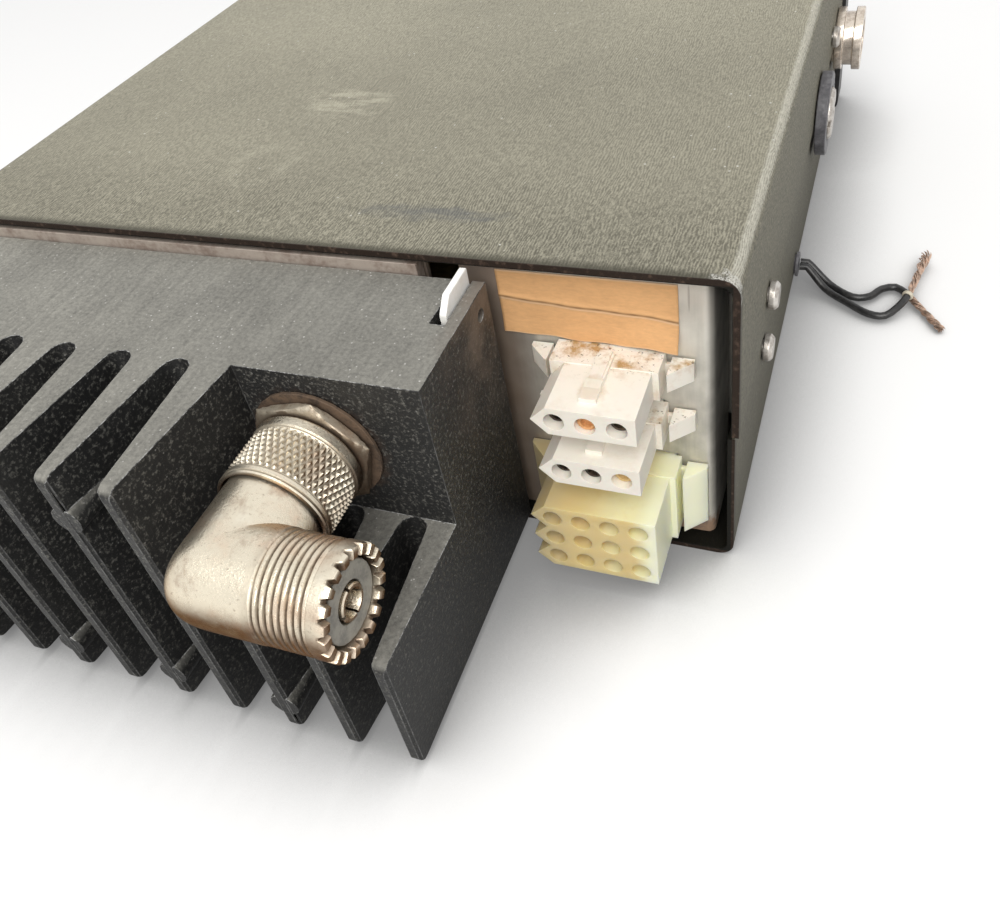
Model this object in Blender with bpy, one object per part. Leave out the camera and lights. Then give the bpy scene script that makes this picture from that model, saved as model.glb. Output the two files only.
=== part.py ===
"""Mobile transceiver: a vehicle FM radio in a two-piece sheet case, with a finned rear heat sink.

Frame: metres, +Z up. The control panel faces -Y and the heat sink faces +Y. The origin is the
middle of the case's underside, which stands on Z = 0. Seen from behind, the -X side is on the right.
"""
from math import cos, pi, radians, sin

import bmesh
import bpy
from mathutils import Matrix, Vector

# Fits
FIT = 0.0003
RUNNING_FIT = 0.0004
BITE = 0.0010

# Facets
ROUND_STEPS = 24
SMALL_STEPS = 12
BEND_STEPS = 6
SLOT_STEPS = 6
CORNER_STEPS = 3
SMOOTH_ANGLE = radians(35)

# Case covers
CASE_WIDTH = 0.160
CASE_HEIGHT = 0.062
CASE_DEPTH = 0.176
SHEET = 0.0012
BEND_RADIUS = 0.0030
SEAM_HEIGHT = 0.0306
SEAM_GAP = 0.0005
BOTTOM_INSET = 0.0006

# Cover screws
SCREW_SETBACK = 0.031
SCREW_SPREAD = 0.0062
SCREW_HEAD_RADIUS = 0.0027
SCREW_HEAD_HEIGHT = 0.0017
SCREW_HEAD_EDGE = 0.0006
SCREW_SHANK_RADIUS = 0.0014

# Chassis, its side rails and the rear panel
CHASSIS_SHEET = 0.0012
SIDE_GAP = 0.0045
PANEL_SHEET = 0.0010
PANEL_BEND = 0.0016
PANEL_RECESS = 0.0031
PANEL_EDGE_GAP = 0.0006
PANEL_FLANGE = 0.012
RAIL_HALF_HEIGHT = 0.014
RAIL_FRONT_GAP = 0.004
RAIL_REAR_GAP = 0.004
TRAY_HEIGHT = 0.034
TRAY_MIC_GAP = 0.0020
TRAY_PLUG_GAP = 0.0020
STANDOFF_HEIGHT = 0.004
STANDOFF_SIDE = 0.006
BOARD_THICKNESS = 0.0016
BOARD_WIDTH = 0.118
BOARD_LENGTH = 0.092
BOARD_REAR_GAP = 0.012
PORT_WIDTH = 0.006
PORT_HEIGHT = 0.012
PORT_DROP = 0.0012
PORT_MARGIN = 0.0003

# Label on the rear panel
LABEL_WIDTH = 0.0296
LABEL_THICKNESS = 0.0002
LABEL_GAP = 0.0001
LABEL_SIDE = 0.0098
LABEL_DROP = 0.0037
LABEL_PLUG_GAP = 0.0004

# Heat sink
SINK_SETIN = 0.0399
SINK_TOP_DROP = 0.0041
SINK_BOTTOM = 0.0020
SINK_BODY_DEPTH = 0.0261
SINK_WALL = 0.0030
SINK_REAR_WALL = 0.0040
FIN_DEPTH = 0.0269
FIN_PITCH = 0.0113
FIN_COUNT = 11
FIN_TIP = 0.0024
FIN_TAPER = 0.0020
FIN_CHAMFER = 0.0005
FIN_CORNER = 0.0016
BOSS_RADIUS = 0.0026
BOSS_LENGTH = 0.022
BOSS_SETBACK = 0.0002
BOSS_RISE = 0.0065
BOSS_DROP = 0.0091
FIRST_BOSS_FIN = 2
BOSS_STEP = 2
RECESS_FINS = 3
RECESS_DROP = 0.0288
RECESS_STEP = 0.0002
NOTCH_WALL = 0.0022
NOTCH_WIDTH = 0.0026
NOTCH_LENGTH = 0.0114
NOTCH_DEPTH = 0.010
VENT_RADIUS = 0.0011
VENT_REACH = 0.0037
VENT_DROP = 0.0039
TAB_THICKNESS = 0.0012
TAB_RISE = 0.0028
TAB_LENGTH = 0.0096
TAB_SLOPE = 0.0022

# Amplifier inside the heat sink
PLATE_OFFSET = 0.0121
PLATE_RISE = 0.0019
AMP_BOARD_WIDTH = 0.070
AMP_BOARD_HEIGHT = 0.034
TRANSISTOR_WIDTH = 0.026
TRANSISTOR_HEIGHT = 0.012
TRANSISTOR_DEPTH = 0.007
TRANSISTOR_OFFSET = 0.046

# Antenna socket, its washer and nut
ANTENNA_OFFSET = 0.0205
ANTENNA_DROP = 0.0143
SOCKET_RADIUS = 0.0077
SOCKET_FLANGE_RADIUS = 0.0105
SOCKET_FLANGE = 0.0020
SOCKET_BORE = 0.0050
SOCKET_BORE_DEPTH = 0.0070
SOCKET_ENGAGEMENT = 0.0067
WASHER_RADIUS = 0.0110
WASHER_THICKNESS = 0.0006
NUT_FLATS = 0.0190
NUT_TURN = radians(15)
NUT_THICKNESS = 0.0019

# Right-angle adapter
RING_RADIUS = 0.0091
RING_BORE = 0.0084
RING_LENGTH = 0.0117
NECK_RADIUS = 0.0080
ELBOW_REACH = 0.0224
OUTLET_RADIUS = 0.0079
OUTLET_LENGTH = 0.0198
OUTLET_BORE = 0.0061
OUTLET_BORE_DEPTH = 0.0090
CONTACT_RADIUS = 0.0027
CONTACT_BORE = 0.0019
CONTACT_BORE_DEPTH = 0.0075
CONTACT_RISE = 0.0004
INSULATOR_SETBACK = 0.0009

# Nylon connectors
PIN_PITCH = 0.00503
PIN_RADIUS = 0.0017
PIN_DEPTH = 0.0090
HOUSING_FACE = 0.0134
HOUSING_MARGIN = 0.0030
HOUSING_RISE = 0.0028
HOUSING_SHOULDER = 0.0012
HOUSING_TIP = 0.0039
HOUSING_INSIDE = 0.0060
COLLAR_FRONT = 0.0026
COLLAR_MARGIN = 0.0010
COLLAR_RISE = 0.0002
EAR_WIDTH = 0.0036
EAR_GAP = 0.0010
EAR_WEB = 0.0010
EAR_TRIM = 0.0009
EAR_BRIDGE_TRIM = 0.0018
EAR_RELIEF = 0.00025
LATCH_WIDTH = 0.0028
LATCH_LENGTH = 0.0085
LATCH_HEIGHT = 0.0008
LOWEST_PIN_HEIGHT = 0.00844
ACCESSORY_ROWS = 3
UPPER_PIN_SIDE = 0.0160
PLUG_STEP = 0.0112
ACCESSORY_PIN_SIDE = 0.0141
ACCESSORY_STEP = 0.0126

# Side mounting screws and their cushions
MOUNT_REACH = 0.114
MOUNT_SHANK_RADIUS = 0.0025
MOUNT_HEAD_RADIUS = 0.0062
MOUNT_HEAD_HEIGHT = 0.0019
MOUNT_HEAD_EDGE = 0.0006
MOUNT_SLOT_WIDTH = 0.0014
MOUNT_SLOT_DEPTH = 0.0010
CUSHION_RADIUS = 0.0100
CUSHION_THICKNESS = 0.0026
CUSHION_SEAT = 0.0014

# Microphone socket
MIC_SETBACK = 0.017
MIC_FLANGE_RADIUS = 0.0083
MIC_FLANGE = 0.0020
MIC_GROOVE_RADIUS = 0.0071
MIC_GROOVE = 0.0026
MIC_RIM = 0.0022
MIC_BARREL_RADIUS = 0.0064
MIC_BORE = 0.0055
MIC_BORE_DEPTH = 0.0058
MIC_TAIL = 0.0040
MIC_INSERT_SETBACK = 0.0012

# Speaker and its slots
SPEAKER_X = 0.026
SPEAKER_Y = 0.004
SPEAKER_RADIUS = 0.0280
SPEAKER_RIM = 0.0014
BASKET_SHEET = 0.0012
BASKET_HEIGHT = 0.0120
MAGNET_RADIUS = 0.0130
MAGNET_HEIGHT = 0.0075
CONE_SHEET = 0.0006
CONE_RIM = 0.0012
CONE_EDGE = 0.0245
CONE_THROAT = 0.0060
SLOT_COUNT = 9
SLOT_PITCH = 0.0052
SLOT_WIDTH = 0.0022

# Lead wires and their grommet
GROMMET_REACH = 0.085
GROMMET_HEIGHT = 0.0058
GROMMET_RADIUS = 0.0023
GROMMET_FLANGE_RADIUS = 0.0030
GROMMET_FLANGE = 0.0007
GROMMET_INSIDE = 0.0006
WIRE_RADIUS = 0.00085
WIRE_STEP = 2.4
STRAND_RADIUS = 0.00065
STRAND_TIP_RADIUS = 0.00030

# Front frame and fascia
BEZEL_DEPTH = 0.011
BEZEL_MARGIN = 0.0010
BEZEL_RIM = 0.0045
BEZEL_CORNER = 0.0030
BEZEL_WALL = 0.0025
FASCIA_SHEET = 0.0012
FASCIA_SETBACK = 0.0010

# Controls on the front
KNOB_STAND = 0.0010
CHANNEL_X = 0.048
CHANNEL_INSET = 0.0090
CHANNEL_LENGTH = 0.0175
LOWER_ROW_DROP = 0.0145
VOLUME_X = -0.061
SQUELCH_X = -0.035
SMALL_KNOB_RADIUS = 0.0078
SMALL_KNOB_LENGTH = 0.0150
KNOB_TAPER = 0.0012
KNOB_EDGE = 0.0010
SHAFT_RADIUS = 0.0030
SHAFT_INSIDE = 0.0060
BUSH_WALL = 0.0010
CONTROL_RADIUS = 0.0082
CONTROL_DEPTH = 0.0090
SWITCH_SIDE = 0.027
DIAL_MARGIN = 0.0025
DIAL_SHEET = 0.0012
DIAL_GAP = 0.0006
WINDOW_INSET = 0.0045
WINDOW_WIDTH = 0.0066
WINDOW_HEIGHT = 0.0086
METER_X = -0.048
METER_RISE = 0.0105
METER_WIDTH = 0.036
METER_HEIGHT = 0.017
METER_WALL = 0.0015
METER_MARGIN = 0.0025
METER_DEPTH = 0.012
GLASS = 0.0015
NEEDLE_LENGTH = 0.0128
NEEDLE_WIDTH = 0.0006
NEEDLE_SHEET = 0.0005
NEEDLE_HUB = 0.0010
NEEDLE_TILT = radians(-40)
PIVOT_DROP = 0.0070
PIVOT_RADIUS = 0.0016
PIVOT_HEIGHT = 0.0040
BUTTON_X = (-0.008, 0.008)
BUTTON_WIDTH = 0.0085
BUTTON_HEIGHT = 0.0052
BUTTON_RISE = 0.0045
BUTTON_TRAVEL = 0.0025
BUTTON_STEM = 0.0080
BUTTON_BOX_WALL = 0.0020

# Planes and places that follow from the sizes above
HALF_WIDTH = CASE_WIDTH / 2
REAR = CASE_DEPTH / 2
FRONT = -CASE_DEPTH / 2
TOP_INNER = CASE_HEIGHT - SHEET
BOTTOM_HALF_WIDTH = HALF_WIDTH - BOTTOM_INSET
PANEL_REAR = REAR - PANEL_RECESS
PANEL_FRONT = PANEL_REAR - PANEL_SHEET
PANEL_HALF_WIDTH = HALF_WIDTH - SIDE_GAP
PANEL_TOP = TOP_INNER - PANEL_EDGE_GAP
PANEL_BOTTOM = SHEET + PANEL_EDGE_GAP
CHASSIS_HALF_WIDTH = PANEL_HALF_WIDTH - PANEL_SHEET - FIT
CHASSIS_INNER = CHASSIS_HALF_WIDTH - CHASSIS_SHEET
RAIL_INNER = CHASSIS_HALF_WIDTH + FIT
RAIL_FRONT = FRONT + RAIL_FRONT_GAP
RAIL_REAR = PANEL_FRONT - PANEL_FLANGE - RAIL_REAR_GAP
SINK_RIGHT = SINK_SETIN - HALF_WIDTH
SINK_LEFT = SINK_RIGHT + (FIN_COUNT - 1) * FIN_PITCH + FIN_TIP
SINK_TOP = CASE_HEIGHT - SINK_TOP_DROP
SINK_BODY_REAR = REAR + SINK_BODY_DEPTH
FIN_REAR = SINK_BODY_REAR + FIN_DEPTH
SINK_INNER_REAR = SINK_BODY_REAR - SINK_REAR_WALL
ACCESSORY_PIN_Z = LOWEST_PIN_HEIGHT + (ACCESSORY_ROWS - 1) * PIN_PITCH
LOWER_PIN_Z = ACCESSORY_PIN_Z + ACCESSORY_STEP
UPPER_PIN_Z = LOWER_PIN_Z + PLUG_STEP
ANTENNA_X = SINK_RIGHT + ANTENNA_OFFSET
ANTENNA_Z = SINK_TOP - ANTENNA_DROP
WASHER_Y = SINK_BODY_REAR + FIT
NUT_Y = WASHER_Y + WASHER_THICKNESS + FIT
RING_Y = NUT_Y + NUT_THICKNESS + FIT
SOCKET_END = RING_Y + SOCKET_ENGAGEMENT
ELBOW_Y = RING_Y + ELBOW_REACH
OUTLET_END = ANTENNA_X - OUTLET_LENGTH
MOUNT_Y = REAR - MOUNT_REACH
MIC_Y = FRONT + MIC_SETBACK
GROMMET_Y = REAR - GROMMET_REACH
BEZEL_BACK = FRONT - FIT
BEZEL_FRONT = BEZEL_BACK - BEZEL_DEPTH
FASCIA_FRONT = BEZEL_FRONT + FASCIA_SETBACK
FASCIA_BACK = FASCIA_FRONT + FASCIA_SHEET
WALL_FRONT = FASCIA_BACK + FIT
WALL_BACK = WALL_FRONT + BEZEL_WALL
BEZEL_INNER_X = HALF_WIDTH + BEZEL_MARGIN - BEZEL_RIM
BEZEL_TOP = CASE_HEIGHT + BEZEL_MARGIN
CHANNEL_Z = CASE_HEIGHT / 2
SMALL_KNOB_Z = CHANNEL_Z - LOWER_ROW_DROP
BUTTON_Z = SMALL_KNOB_Z
METER_Z = CHANNEL_Z + METER_RISE
DIAL_RADIUS = CHANNEL_Z - BEZEL_RIM - DIAL_MARGIN
WINDOW_REACH = DIAL_RADIUS - WINDOW_INSET
CHANNEL_RADIUS = DIAL_RADIUS - CHANNEL_INSET
KNOB_BACK = FASCIA_FRONT - KNOB_STAND
SHAFT_BORE = SHAFT_RADIUS + RUNNING_FIT
BUSH_RADIUS = SHAFT_BORE + BUSH_WALL
DIAL_FRONT = WALL_BACK + DIAL_GAP
DIAL_BACK = DIAL_FRONT + DIAL_SHEET
SWITCH_FRONT = DIAL_BACK + DIAL_GAP
TRAY_FRONT = MIC_Y + MIC_BARREL_RADIUS + TRAY_MIC_GAP
TRAY_REAR = PANEL_FRONT - HOUSING_INSIDE - TRAY_PLUG_GAP
SWITCH_BACK = TRAY_FRONT - FIT
METER_FRONT = WALL_BACK + FIT
METER_BACK = METER_FRONT + METER_DEPTH
PIVOT_Z = METER_Z - PIVOT_DROP
NEEDLE_BACK = METER_BACK - METER_WALL - PIVOT_HEIGHT - FIT

# Finish of each material: colour, roughness, metallic
FINISHES = {
    "leathercloth_steel": ((0.115, 0.108, 0.090), 0.62, 0.0),
    "zinc_steel": ((0.46, 0.46, 0.45), 0.45, 0.9),
    "brown_steel": ((0.33, 0.27, 0.23), 0.55, 0.6),
    "kraft_paper": ((0.62, 0.36, 0.16), 0.85, 0.0),
    "black_casting": ((0.030, 0.030, 0.031), 0.50, 0.2),
    "white_sheet": ((0.72, 0.70, 0.66), 0.60, 0.0),
    "circuit_board": ((0.36, 0.27, 0.12), 0.60, 0.0),
    "rusty_steel": ((0.25, 0.17, 0.11), 0.75, 0.5),
    "worn_nickel": ((0.63, 0.57, 0.48), 0.36, 1.0),
    "grey_insulator": ((0.33, 0.33, 0.31), 0.55, 0.0),
    "cream_nylon": ((0.80, 0.75, 0.66), 0.50, 0.0),
    "clear_nylon": ((0.66, 0.64, 0.42), 0.45, 0.0),
    "screw_steel": ((0.55, 0.54, 0.52), 0.38, 1.0),
    "black_rubber": ((0.020, 0.019, 0.022), 0.70, 0.0),
    "bright_chrome": ((0.70, 0.68, 0.65), 0.18, 1.0),
    "black_plastic": ((0.022, 0.022, 0.024), 0.42, 0.0),
    "wire_vinyl": ((0.014, 0.014, 0.016), 0.38, 0.0),
    "bare_copper": ((0.50, 0.26, 0.16), 0.42, 1.0),
    "brushed_aluminium": ((0.66, 0.66, 0.65), 0.32, 1.0),
    "paper_cone": ((0.05, 0.05, 0.05), 0.90, 0.0),
    "clear_window": ((0.85, 0.87, 0.88), 0.08, 0.0),
    "dial_white": ((0.78, 0.77, 0.70), 0.55, 0.0),
    "needle_red": ((0.55, 0.06, 0.04), 0.50, 0.0),
}

AXES = {"X": Vector((1, 0, 0)), "Y": Vector((0, 1, 0)), "Z": Vector((0, 0, 1))}
SIDES = {"X": Vector((0, 1, 0)), "Y": Vector((0, 0, 1)), "Z": Vector((1, 0, 0))}


# Scene and finish

def clear_scene():
    """Remove every object, so that only the transceiver is left."""
    for obj in list(bpy.data.objects):
        bpy.data.objects.remove(obj, do_unlink=True)


def finish_material(name):
    """The Principled material of one finish."""
    found = bpy.data.materials.get(name)
    if found:
        return found
    colour, roughness, metallic = FINISHES[name]
    made = bpy.data.materials.new(name)
    made.use_nodes = True
    shader = made.node_tree.nodes["Principled BSDF"]
    shader.inputs["Base Color"].default_value = (*colour, 1.0)
    shader.inputs["Roughness"].default_value = roughness
    shader.inputs["Metallic"].default_value = metallic
    return made


# Solids as meshes being edited, all in the object's own frame

def box(x, y, z):
    """A box between pairs of coordinates."""
    mesh = bmesh.new()
    size = Matrix.Diagonal((x[1] - x[0], y[1] - y[0], z[1] - z[0], 1))
    place = Matrix.Translation(((x[0] + x[1]) / 2, (y[0] + y[1]) / 2, (z[0] + z[1]) / 2))
    bmesh.ops.create_cube(mesh, size=1.0, matrix=place @ size)
    return mesh


def on_axis(axis, a, b, along):
    """The point at (a, b) in the plane across an axis: (Y, Z), (X, Z) or (X, Y)."""
    return {"X": (along, a, b), "Y": (a, along, b), "Z": (a, b, along)}[axis]


def prism(outline, axis, start, stop):
    """An outline in the plane across an axis, extruded along it."""
    mesh = bmesh.new()
    corners = [mesh.verts.new(on_axis(axis, a, b, start)) for a, b in outline]
    face = mesh.faces.new(corners)
    raised = bmesh.ops.extrude_face_region(mesh, geom=[face])
    moved = [item for item in raised["geom"] if isinstance(item, bmesh.types.BMVert)]
    bmesh.ops.translate(mesh, verts=moved, vec=AXES[axis] * (stop - start))
    bmesh.ops.recalc_face_normals(mesh, faces=mesh.faces)
    return mesh


def turned(profile, axis, centre, steps=ROUND_STEPS, ring=False):
    """A profile of (along, radius) points spun about an axis; a ring's profile closes on itself."""
    mesh = bmesh.new()
    place = Vector(centre)
    points = [mesh.verts.new(place + AXES[axis] * a + SIDES[axis] * r) for a, r in profile]
    pairs = list(zip(points, points[1:]))
    if ring:
        pairs.append((points[-1], points[0]))
    edges = [mesh.edges.new(pair) for pair in pairs]
    bmesh.ops.spin(mesh, geom=points + edges, cent=place, axis=AXES[axis], angle=2 * pi, steps=steps,
                   use_merge=True)
    bmesh.ops.remove_doubles(mesh, verts=mesh.verts, dist=1e-7)
    bmesh.ops.recalc_face_normals(mesh, faces=mesh.faces)
    return mesh


def rods(axis, centres, radius, start, stop, steps=SMALL_STEPS):
    """Parallel round rods along an axis, as one set of cutters."""
    mesh = bmesh.new()
    turn = Vector((0, 0, 1)).rotation_difference(AXES[axis]).to_matrix().to_4x4()
    for a, b in centres:
        place = Matrix.Translation(on_axis(axis, a, b, (start + stop) / 2))
        bmesh.ops.create_cone(mesh, cap_ends=True, segments=steps, radius1=radius, radius2=radius,
                              depth=abs(stop - start), matrix=place @ turn)
    return mesh


def arc(centre_a, centre_b, radius, first, last, steps):
    """Points on a circle between two angles in degrees, both ends included."""
    angles = [radians(first + (last - first) * i / steps) for i in range(steps + 1)]
    return [(centre_a + radius * cos(t), centre_b + radius * sin(t)) for t in angles]


def rounded_rectangle(a, b, radius, steps=BEND_STEPS):
    """Outline of a rectangle between two pairs of coordinates, with round corners."""
    near_a, far_a = a[0] + radius, a[1] - radius
    near_b, far_b = b[0] + radius, b[1] - radius
    return (arc(far_a, near_b, radius, -90, 0, steps) + arc(far_a, far_b, radius, 0, 90, steps)
            + arc(near_a, far_b, radius, 90, 180, steps) + arc(near_a, near_b, radius, 180, 270, steps))


# Objects made from those solids

def add_object(name, mesh, finish, origin=(0, 0, 0)):
    """A named object from an edited mesh, with its own origin."""
    bmesh.ops.recalc_face_normals(mesh, faces=mesh.faces)
    bmesh.ops.translate(mesh, verts=mesh.verts, vec=-Vector(origin))
    data = bpy.data.meshes.new(name)
    mesh.to_mesh(data)
    mesh.free()
    data.materials.append(finish_material(finish))
    obj = bpy.data.objects.new(name, data)
    obj.location = origin
    bpy.context.scene.collection.objects.link(obj)
    return obj


def combine(obj, mesh, operation):
    """Cut an edited mesh from an object, or join the two, and keep the result as its mesh."""
    tool = bpy.data.objects.new(obj.name + ".tool", bpy.data.meshes.new("tool"))
    bmesh.ops.recalc_face_normals(mesh, faces=mesh.faces)
    bmesh.ops.translate(mesh, verts=mesh.verts, vec=-obj.location)
    mesh.to_mesh(tool.data)
    mesh.free()
    tool.location = obj.location
    tool.hide_render = True
    tool.display_type = "WIRE"
    bpy.context.scene.collection.objects.link(tool)
    step = obj.modifiers.new("combine", "BOOLEAN")
    step.operation = operation
    step.solver = "EXACT"
    step.object = tool
    bpy.context.view_layer.update()
    view = obj.evaluated_get(bpy.context.evaluated_depsgraph_get())
    result = bpy.data.meshes.new_from_object(view)
    obj.modifiers.clear()
    obj.data = result
    bpy.data.objects.remove(tool, do_unlink=True)


def cut(obj, *meshes):
    """Take each edited mesh out of an object."""
    for mesh in meshes:
        combine(obj, mesh, "DIFFERENCE")


def join(obj, *meshes):
    """Fuse each edited mesh to an object."""
    for mesh in meshes:
        combine(obj, mesh, "UNION")


# Case

def channel_outline(half_width, base, edge, sheet=SHEET, radius=BEND_RADIUS):
    """Outline of a sheet channel: two legs that end at edge, bent into a base."""
    rise = 1 if base > edge else -1
    middle = half_width - radius
    inner = radius - sheet
    bend = base - rise * radius
    flat = [(-half_width, edge)]
    flat += arc(-middle, 0, radius, 180, 90, BEND_STEPS)
    flat += arc(middle, 0, radius, 90, 0, BEND_STEPS)
    flat += [(half_width, edge), (half_width - sheet, edge)]
    flat += arc(middle, 0, inner, 0, 90, BEND_STEPS)
    flat += arc(-middle, 0, inner, 90, 180, BEND_STEPS)
    flat += [(sheet - half_width, edge)]
    legs = {0, 2 * BEND_STEPS + 3, 2 * BEND_STEPS + 4, len(flat) - 1}
    return [(a, b if i in legs else bend + rise * b) for i, (a, b) in enumerate(flat)]


def screw_places(height):
    """Both screw places on a side, as (Y, Z)."""
    return [(FRONT + SCREW_SETBACK, height), (REAR - SCREW_SETBACK, height)]


def cut_side_holes(obj, screw_height, half_width):
    """Holes for the cover screws, the mounting screws and the microphone socket."""
    out, inside = half_width + BITE, half_width - SHEET - BITE
    for side in (-1, 1):
        cut(obj, rods("X", screw_places(screw_height), SCREW_SHANK_RADIUS + FIT, side * inside, side * out))
        cut(obj, rods("X", [(MOUNT_Y, SEAM_HEIGHT)], MOUNT_SHANK_RADIUS + FIT, side * inside, side * out))
    cut(obj, rods("X", [(MIC_Y, SEAM_HEIGHT)], MIC_BARREL_RADIUS + FIT, -inside, -out, ROUND_STEPS))


def make_top_cover():
    """The upper half of the case, with legs that end at the seam."""
    outline = channel_outline(HALF_WIDTH, CASE_HEIGHT, SEAM_HEIGHT)
    cover = add_object("top_cover", prism(outline, "Y", FRONT, REAR), "leathercloth_steel")
    cut_side_holes(cover, SEAM_HEIGHT + SCREW_SPREAD, HALF_WIDTH)
    return cover


def slot_half_length(offset):
    """Half the length of a speaker slot that lies this far from the speaker's middle."""
    return max(SLOT_WIDTH, (CONE_EDGE ** 2 - offset ** 2) ** 0.5)


def make_bottom_cover():
    """The lower half of the case, a little inboard, with speaker slots and the wire hole."""
    outline = channel_outline(BOTTOM_HALF_WIDTH, 0.0, SEAM_HEIGHT - SEAM_GAP)
    cover = add_object("bottom_cover", prism(outline, "Y", FRONT, REAR), "leathercloth_steel")
    cut_side_holes(cover, SEAM_HEIGHT - SCREW_SPREAD, BOTTOM_HALF_WIDTH)
    for i in range(SLOT_COUNT):
        offset = (i - (SLOT_COUNT - 1) / 2) * SLOT_PITCH
        reach = slot_half_length(offset)
        across = (SPEAKER_X + offset - SLOT_WIDTH / 2, SPEAKER_X + offset + SLOT_WIDTH / 2)
        cut(cover, box(across, (SPEAKER_Y - reach, SPEAKER_Y + reach), (-BITE, SHEET + BITE)))
    hole = rods("X", [(GROMMET_Y, GROMMET_HEIGHT)], GROMMET_RADIUS + FIT,
                -BOTTOM_HALF_WIDTH - BITE, SHEET + BITE - BOTTOM_HALF_WIDTH)
    cut(cover, hole)
    return cover


def screw_mesh(head_radius, head_height, edge, shank_radius, length):
    """A flat-headed screw along +X, whose head stands on X = 0 and has a chamfered edge."""
    profile = [(-length, 0), (-length, shank_radius), (0, shank_radius), (0, head_radius),
               (head_height - edge, head_radius), (head_height, head_radius - edge), (head_height, 0)]
    return turned(profile, "X", (0, 0, 0), SMALL_STEPS)


def make_cover_screws():
    """Four screws in each cover, two on each side, driven into the side rails."""
    rows = (("top_screw", HALF_WIDTH, SEAM_HEIGHT + SCREW_SPREAD),
            ("bottom_screw", BOTTOM_HALF_WIDTH, SEAM_HEIGHT - SCREW_SPREAD))
    screws = []
    for name, half_width, height in rows:
        length = half_width - RAIL_INNER
        for side, word in ((-1, "right"), (1, "left")):
            for (y, z), end in zip(screw_places(height), ("front", "rear")):
                mesh = screw_mesh(SCREW_HEAD_RADIUS, SCREW_HEAD_HEIGHT, SCREW_HEAD_EDGE,
                                  SCREW_SHANK_RADIUS, length)
                screw = add_object(f"{name}_{word}_{end}", mesh, "screw_steel")
                screw.location = (side * (half_width + FIT), y, z)
                screw.rotation_euler = (0, 0, 0 if side > 0 else pi)
                screws.append(screw)
    return screws


# Chassis

def standoff_places():
    """Middles of the four main-board standoffs, as (X, Y)."""
    half_x = (BOARD_WIDTH - STANDOFF_SIDE) / 2
    rear = PANEL_FRONT - BOARD_REAR_GAP - STANDOFF_SIDE / 2
    front = PANEL_FRONT - BOARD_REAR_GAP - BOARD_LENGTH + STANDOFF_SIDE / 2
    return [(x, y) for x in (-half_x, half_x) for y in (front, rear)]


def make_chassis():
    """Two side plates joined by a tray, with standoffs for the main board."""
    rear = PANEL_FRONT - FIT
    tray = box((-CHASSIS_INNER - CHASSIS_SHEET / 2, CHASSIS_INNER + CHASSIS_SHEET / 2),
               (TRAY_FRONT, TRAY_REAR), (TRAY_HEIGHT - CHASSIS_SHEET, TRAY_HEIGHT))
    chassis = add_object("chassis", tray, "zinc_steel")
    for side in (-1, 1):
        faces = sorted((side * CHASSIS_INNER, side * CHASSIS_HALF_WIDTH))
        join(chassis, box(faces, (BEZEL_BACK + FIT, rear), (PANEL_BOTTOM, PANEL_TOP)))
    half = STANDOFF_SIDE / 2
    for x, y in standoff_places():
        join(chassis, box((x - half, x + half), (y - half, y + half),
                          (TRAY_HEIGHT - CHASSIS_SHEET / 2, TRAY_HEIGHT + STANDOFF_HEIGHT)))
    cut(chassis, rods("X", [(MIC_Y, SEAM_HEIGHT)], MIC_BARREL_RADIUS + FIT,
                      -CHASSIS_HALF_WIDTH - BITE, BITE - CHASSIS_INNER, ROUND_STEPS))
    return chassis


def make_side_rail(name, side):
    """A tapped bar between the chassis and both covers, stepped at the seam."""
    upper, lower = HALF_WIDTH - SHEET - FIT, BOTTOM_HALF_WIDTH - SHEET - FIT
    top, bottom = SEAM_HEIGHT + RAIL_HALF_HEIGHT, SEAM_HEIGHT - RAIL_HALF_HEIGHT
    outline = [(RAIL_INNER, bottom), (lower, bottom), (lower, SEAM_HEIGHT), (upper, SEAM_HEIGHT),
               (upper, top), (RAIL_INNER, top)]
    rail = add_object(name, prism([(side * a, b) for a, b in outline], "Y", RAIL_FRONT, RAIL_REAR),
                      "zinc_steel")
    through = (side * (RAIL_INNER - BITE), side * (HALF_WIDTH + BITE))
    places = screw_places(SEAM_HEIGHT + SCREW_SPREAD) + screw_places(SEAM_HEIGHT - SCREW_SPREAD)
    cut(rail, rods("X", places, SCREW_SHANK_RADIUS + FIT, *through))
    cut(rail, rods("X", [(MOUNT_Y, SEAM_HEIGHT)], MOUNT_SHANK_RADIUS + FIT, *through))
    if side < 0:
        cut(rail, rods("X", [(MIC_Y, SEAM_HEIGHT)], MIC_BARREL_RADIUS + FIT, *through, ROUND_STEPS))
    return rail


def make_rear_panel():
    """The zinc rear panel, bent forward at both sides, with connector cut-outs and a cable port."""
    flange_end = PANEL_FRONT - PANEL_FLANGE
    outline = channel_outline(PANEL_HALF_WIDTH, PANEL_REAR, flange_end, PANEL_SHEET, PANEL_BEND)
    panel = add_object("rear_panel", prism(outline, "Z", PANEL_BOTTOM, PANEL_TOP), "zinc_steel")
    for layout in CONNECTORS.values():
        x, z = housing_box(*layout)
        cut(panel, box((x[0] - FIT, x[1] + FIT), (PANEL_FRONT - BITE, PANEL_REAR + BITE),
                       (z[0] - FIT, z[1] + FIT)))
    port_left = SINK_RIGHT + PLATE_OFFSET - PORT_MARGIN
    cut(panel, box((port_left - PORT_WIDTH, port_left), (PANEL_FRONT - BITE, PANEL_REAR + BITE),
                   (PANEL_TOP - PORT_DROP - PORT_HEIGHT, PANEL_TOP - PORT_DROP)))
    return panel


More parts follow.
